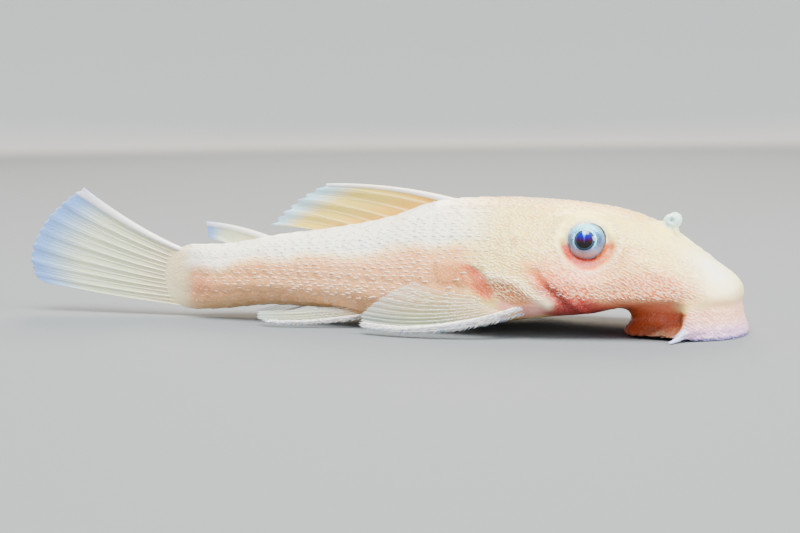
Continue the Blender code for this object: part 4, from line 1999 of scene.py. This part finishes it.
@dataclass
class Coat:
    """Grows the spines of head, plates and pectoral fins.

    Attributes:
        skin: The finished skin.
        head_gap: Distance between spines on the head, in millimetres.
        flank_gap: Distance between the small spines of the flank.
        dash_gap: Distance between the long spines along a plate's rear edge.
        lift: How far the small spines stand off the skin, as a share of their length.
        head_size: Length, width and height of the head's spines, in millimetres.
        flank_size: The same for the small spines of the flank.
        white: The palest colour of the long spines.
        sink: How deep a root sits in the skin.
    """

    skin: Skin
    head_gap: float = 0.23
    flank_gap: float = 0.4
    dash_gap: float = 0.24
    lift: float = 0.16
    head_size: Triple = (0.21, 0.07, 0.05)
    flank_size: Triple = (0.15, 0.06, 0.03)
    white: Colour = linear("fffdf6")
    sink: float = 0.012

    def map_spot(self, root: Array) -> tuple[float, float]:
        """A root's place on the body unrolled along its length.

        Args:
            root: The place, in millimetres.

        Returns:
            Along and around, from 0 to 1.
        """
        along = SNOUT - root[0]
        angle = float(self.skin.body.angle(np.array(along), np.array(abs(root[1])), np.array(root[2])))
        turn = 0.5 + math.copysign(0.5 - (angle + math.pi / 2) / math.pi * 0.5, root[1]) * 0.98
        return 0.01 + 0.97 * min(max(along / MAP_LENGTH, 0), 1), turn

    def grow(
        self, spines: Spines, root: Array, out: Array, aim: Array, size: Triple, tint: Array, lift: float
    ) -> None:
        """Adds a spine that lies along the skin.

        Args:
            spines: The piece it belongs to.
            root: Where it grows from.
            out: The direction out of the skin.
            aim: The direction it would take on a flat skin.
            size: Its length, width and height.
            tint: Its colour.
            lift: How far it stands off the skin, as a share of its length.
        """
        flat = aim - out * float(aim @ out)
        flat = flat / max(float(np.linalg.norm(flat)), 1e-6)
        spines.add(root - out * self.sink, flat + out * lift, out, size, tint, self.map_spot(root))

    def scatter(self, spines: Spines, gap: float, mask: Array, size: Triple, pale: float, seed: int) -> None:
        """Grows spines all over a part of the skin.

        Args:
            spines: The piece they belong to.
            gap: The distance between them.
            mask: Where they grow, from 0 to 1 for each point of the skin.
            size: Their usual length, width and height.
            pale: How much paler than the skin they are.
            seed: Which pattern it is.
        """
        chance = np.random.default_rng(seed)
        order = chance.permutation(np.flatnonzero(mask > chance.random(len(mask))))
        cells = np.floor(self.skin.points[order] / gap).astype(int)
        first = np.unique(cells, axis=0, return_index=True)[1]
        bend = SoftNoise(seed + 50).at(self.skin.points, 0.7)
        white = np.array(linear("fffcf2"))
        for index in order[np.sort(first)]:
            root, out = self.skin.points[index], self.skin.normals[index]
            aim = np.array((-1.0, 0.0, 0.3 + 1.2 * bend[index])) + chance.normal(0, 0.15, 3)
            scale = chance.uniform(0.75, 1.2)
            tint = self.skin.colours[index] * (1 - pale) + white * pale
            self.grow(spines, root, out, aim, tuple(s * scale for s in size), tint, self.lift)

    def head(self) -> Spines:
        """Grows the fine granular spines of the head.

        Returns:
            The spines.
        """
        at = self.skin.where
        spines = Spines("head_spines", sides=4)
        mask = ease(at.along, 14.6, 13.2) * ease(at.along, 1.0, 2.4) * ease(at.height, 2.2, 2.9)
        mask = mask * ease(at.near(*self.skin.eye_place), 1.7, 1.95)
        mask = mask * ease(at.near(*self.skin.nostril), 0.75, 1.1)
        mask = mask * (1 - 0.35 * ease(at.angle, 1.0, 1.3)) * ease(self.skin.grain, 0.1, 0.6)
        self.scatter(spines, self.head_gap, mask * 0.9, self.head_size, pale=0.42, seed=21)
        return spines

    def flank(self) -> Spines:
        """Grows the rows of long spines at the plates' rear edges, and small ones between them.

        Returns:
            The spines.
        """
        spines = Spines("flank_spines", sides=5)
        chance = np.random.default_rng(5)
        columns = range(int(PLATES_START / PLATE_PITCH), int(PLATES_END / PLATE_PITCH) + 1)
        for side in Side:
            for row, (top, bottom) in enumerate(zip(PLATE_ROWS, PLATE_ROWS[1:])):
                for column in columns:
                    base = (column - 0.5 * (row % 2)) * PLATE_PITCH
                    self.edge_row(spines, side, (top, bottom), base, chance)
        at = self.skin.where
        mask = ease(at.along, 13.4, 15.0) * ease(at.along, 35.8, 34.8)
        mask = mask * ease(at.angle, -1.1, -0.85) * (1 - self.skin.axil(at))
        self.scatter(spines, self.flank_gap, mask * 0.4, self.flank_size, pale=0.15, seed=22)
        return spines

    def edge_row(
        self, spines: Spines, side: Side, bounds: tuple[float, float], base: float, chance: Generator
    ) -> None:
        """Grows the spines along the rear edge of one plate.

        Args:
            spines: The piece they belong to.
            side: The flank.
            bounds: The angles of the plate's upper and lower edges.
            base: The plate's rear edge, before its curve, behind the snout.
            chance: The random numbers.
        """
        top, bottom = bounds
        body = self.skin.body
        middle = float(body.widest.at(base))
        radius = 0.5 * (float(body.half_width.at(base)) + float(body.back.at(base)) - middle)
        count = max(2, round((top - bottom) * radius / self.dash_gap))
        for step in range(count):
            up = (step + 0.5) / count
            curve = PLATE_CURVE * (1 - (2 * up - 1) ** 2) + chance.normal(0, 0.04)
            for half in (0.0, 0.5):
                along = base + curve + PLATE_PITCH * (half + 0.25 * (step % 2))
                self.dash(spines, side, along, bottom + (top - bottom) * up, chance)

    def dash(self, spines: Spines, side: Side, along: float, angle: float, chance: Generator) -> None:
        """Grows one of the long spines.

        Args:
            spines: The piece it belongs to.
            side: The flank.
            along: Where it grows, behind the snout.
            angle: How far round the body.
            chance: The random numbers.
        """
        rare = float(ease(np.array(angle), 0.1, -0.5) * 0.85 + ease(np.array(angle), 0.8, 1.2) * 0.6)
        if not PLATES_START < along < DASHES_END or chance.random() < rare:
            return
        start, direction = self.skin.body.ray(along, angle, side.value)
        root, out, _, _ = self.skin.faces.ray_cast(start, direction)
        if root is None or (along < 17.2 and 2.2 < root[2] < 4.3 and chance.random() < 0.9):
            return
        tail_end = float(ease(np.array(along), 36.0, 27.0))
        length = chance.uniform(0.32, 0.42) * (0.6 + 0.4 * tail_end)
        width = chance.uniform(0.13, 0.18) * (0.7 + 0.3 * tail_end)
        aim = np.array((-1.0, 0.0, 0.06)) + chance.normal(0, 0.05, 3)
        under = self.skin.colours[self.skin.tree.find(root)[1]]
        tint = under * 0.7 + np.array(self.white) * 0.3
        self.grow(spines, np.array(root), np.array(out), aim, (length, width, 0.035), tint, 0.07)

    def fringe(self, fins: list[Fin]) -> Spines:
        """Grows the slanting hairs of the pectoral spines and the tiny spines of the rays.

        Args:
            fins: The paired fins.

        Returns:
            The hairs.
        """
        spines = Spines("fringe_spines", sides=4)
        chance = np.random.default_rng(9)
        pale, blue = np.array(linear("fbfdff")), np.array(linear("a9c4ff"))
        for fin in fins:
            pectoral = fin.spine > 0.5
            count = 1100 if pectoral else 260
            width = 2 * fin.spine_width / (fin.rays - 1)
            u, v = chance.uniform(0, width, count), chance.uniform(0.04, 0.99, count)
            sign = np.where(chance.random(count) < 0.7, 1, -1)
            spots, outs, runs, wides = fin.face(u, v, sign)
            for i in range(count):
                slant = wides[i] * chance.uniform(0.3, 0.6)
                aim = runs[i] * 0.9 - slant + outs[i] * chance.uniform(0.1, 0.3)
                length = chance.uniform(0.22, 0.36) * (1 if pectoral else 0.6)
                # The blue hairs gather at the spine's outer edge: painted blue rim light.
                tint = blue if chance.random() < 0.5 - 2.0 * u[i] / width else pale
                self.plant(spines, spots[i], aim, outs[i], (length, 0.05, 0.045), tint)
            count = 420 if pectoral else 160
            u = np.round(chance.uniform(1, fin.rays - 1, count)) / (fin.rays - 1)
            v = chance.uniform(0.12, fin.fork + 0.1, count)
            spots, outs, runs, wides = fin.face(u, v, np.where(chance.random(count) < 0.6, 1, -1))
            for i in range(count):
                self.plant(spines, spots[i], runs[i] + outs[i] * 0.3, outs[i], (0.12, 0.04, 0.04), pale)
        return spines

    def plant(self, spines: Spines, spot: Array, aim: Array, out: Array, size: Triple, tint: Array) -> None:
        """Adds a spine that stands on a fin, above the floor."""
        root = spot - out * 0.01
        root[2] = max(root[2], 0.04)
        spines.add(root, aim, out, size, tint, self.map_spot(root))


# The studio


@dataclass
class Studio:
    """Floor, lights and camera.

    Attributes:
        target: What the camera looks at, in millimetres.
        azimuth: How far the camera stands round towards the snout, in degrees.
        elevation: How far above level it stands.
        distance: How far away it stands, in millimetres.
        lens: Its focal length, for a sensor 36 mm wide.
        roll: How far the picture is turned, in degrees.
        floor_radius: Where the floor begins to curve up, in metres.
        wall: Radius of that curve.
        wall_degrees: How far round it goes.
        wall_steps: How many faces it has.
        turns: How many faces the floor has round its middle.
    """

    target: tuple[float, float, float] = (2.38, 0.0, 3.49)
    azimuth: float = 20.0
    elevation: float = 5.5
    distance: float = 110.0
    lens: float = 80.72
    roll: float = -0.7
    floor_radius: float = 0.45
    wall: float = 0.4
    wall_degrees: float = 88.0
    wall_steps: int = 16
    turns: int = 96

    def camera(self) -> None:
        """Sets up the camera."""
        around, over, roll = (math.radians(a) for a in (self.azimuth, self.elevation, self.roll))
        back = Vector(
            (math.sin(around) * math.cos(over), -math.cos(around) * math.cos(over), math.sin(over))
        )
        right = Vector((math.cos(around), math.sin(around), 0))
        up = back.cross(right)
        columns = (
            right * math.cos(roll) + up * math.sin(roll),
            up * math.cos(roll) - right * math.sin(roll),
            back,
        )
        turned = Matrix(columns).transposed().to_4x4()
        place = (Vector(self.target) + back * self.distance) * MM
        data = bpy.data.cameras.new("camera")
        data.lens = self.lens
        data.sensor_width = 36.0
        data.clip_start = 0.001
        data.clip_end = 10.0
        camera = bpy.data.objects.new("camera", data)
        camera.matrix_world = Matrix.Translation(place) @ turned
        bpy.context.scene.collection.objects.link(camera)
        bpy.context.scene.camera = camera

    def floor(self, finish: Material) -> None:
        """Makes the round floor whose edge curves up into a wall.

        Args:
            finish: Its material.
        """
        mesh = bmesh.new()
        middle = mesh.verts.new((0.0, 0.0, 0.0))
        edge = mesh.verts.new((self.floor_radius, 0.0, 0.0))
        mesh.edges.new((middle, edge))
        bmesh.ops.spin(
            mesh,
            geom=[edge],
            cent=(self.floor_radius, 0.0, self.wall),
            axis=(0.0, -1.0, 0.0),
            angle=math.radians(self.wall_degrees),
            steps=self.wall_steps,
        )
        bmesh.ops.spin(
            mesh,
            geom=mesh.verts[:] + mesh.edges[:],
            cent=(0.0, 0.0, 0.0),
            axis=(0.0, 0.0, 1.0),
            angle=2 * math.pi,
            steps=self.turns,
            use_merge=True,
        )
        bmesh.ops.remove_doubles(mesh, verts=mesh.verts, dist=1e-5)
        bmesh.ops.recalc_face_normals(mesh, faces=mesh.faces)
        ground = min(mesh.faces, key=lambda face: face.calc_center_median().length)
        if ground.normal.z < 0:
            bmesh.ops.reverse_faces(mesh, faces=mesh.faces)
        made = bpy.data.meshes.new("floor")
        mesh.to_mesh(made)
        mesh.free()
        add_piece("floor", made, finish)

    @staticmethod
    def lamp(name: str, place: Triple, size: float, power: float, colour: str) -> None:
        """Adds a soft square lamp that points at the fish.

        Args:
            name: The lamp's name.
            place: Where it hangs, in metres.
            size: Its width.
            power: Its power in watts.
            colour: Its colour.
        """
        data = bpy.data.lights.new(name, "AREA")
        data.shape = "SQUARE"
        data.size = size
        data.energy = power
        data.color = linear(colour)
        lamp = bpy.data.objects.new(name, data)
        away = Vector(place)
        lamp.matrix_world = Matrix.Translation(away) @ away.to_track_quat("Z", "Y").to_matrix().to_4x4()
        bpy.context.scene.collection.objects.link(lamp)

    def lights(self) -> None:
        """Hangs the lamps and sets the soft light all round."""
        self.lamp("overhead", (0.04, -0.12, 0.38), 0.26, 7.2, "fff6e6")
        self.lamp("front", (0.38, -0.08, 0.15), 0.18, 3.2, "fffdf8")
        self.lamp("back", (-0.10, 0.32, 0.24), 0.22, 2.4, "ffe8c8")
        self.lamp("far_end", (-0.36, -0.06, 0.18), 0.22, 0.9, "e2f0ff")
        world = bpy.data.worlds.new("studio")
        world.use_nodes = True
        ground = world.node_tree.nodes["Background"]
        ground.inputs["Color"].default_value = (*linear("e6eef5"), 1)
        ground.inputs["Strength"].default_value = 0.42
        bpy.context.scene.world = world


def fin_finishes(effects: Effects) -> dict[str, Material]:
    """Makes the finish of each kind of fin.

    Args:
        effects: The shared groups.

    Returns:
        Materials by the kind of fin.
    """
    # The sky blue of the dorsal margin and the blue of the caudal margin are painted rim light.
    white, rim_light_sky, pearl = linear("fbfdf8"), linear("a8e0ff"), linear("f4f2ff")
    kinds = (
        FinFinish("dorsal_skin", linear("e8a820"), linear("e4c858"), rim_light_sky, linear("f8e8a0"), pearl, 0.82),
        FinFinish("caudal_skin", linear("f0e6bc"), linear("dcecc8"), linear("6cacff"), white, pearl, 0.72),
        FinFinish(
            "paired_skin", linear("ecb478"), linear("c0d0ac"), linear("ccdcd8"), linear("eef2dc"), pearl, 0.13
        ),
    )
    return {kind.name.split("_")[0]: kind.material(effects) for kind in kinds}


def main() -> None:
    """Builds the whole fish and its studio."""
    effects = Effects()
    skin = Skin()
    mesh = skin.build(frame["nodes"])
    skin.dress(mesh, SkinFinish().material(effects))
    LOG.info("skin: %d faces", len(mesh.polygons))

    eye_finish = EyeFinish().material(effects)
    for side in Side:
        eye = Eye(side)
        eye.dress(eye.build(), eye_finish)
        LOG.info("eyeball %s", side.word)

    finishes = fin_finishes(effects)
    pectorals = [pectoral_fin(side) for side in Side]
    pelvics = [pelvic_fin(side) for side in Side]
    for fin, kind in (
        (dorsal_fin(), "dorsal"),
        (adipose_fin(), "caudal"),
        (caudal_fin(), "caudal"),
        (anal_fin(), "paired"),
        *((fin, "paired") for fin in pectorals + pelvics),
    ):
        sheet = fin.build()
        fin.dress(sheet, finishes[kind])
        LOG.info("%s: %d faces before its thickness", fin.node, len(sheet.polygons))

    coat = Coat(skin)
    spine_finish = SpineFinish().material(effects)
    for spines in (coat.head(), coat.flank(), coat.fringe(pectorals + pelvics)):
        made = spines.build()
        spines.dress(made, spine_finish)
        LOG.info("%s: %d spines, %d triangles", spines.name, len(spines.roots), len(made.polygons))

    studio = Studio()
    studio.floor(FloorFinish().material())
    studio.lights()
    studio.camera()


if __name__ == "__main__":
    main()
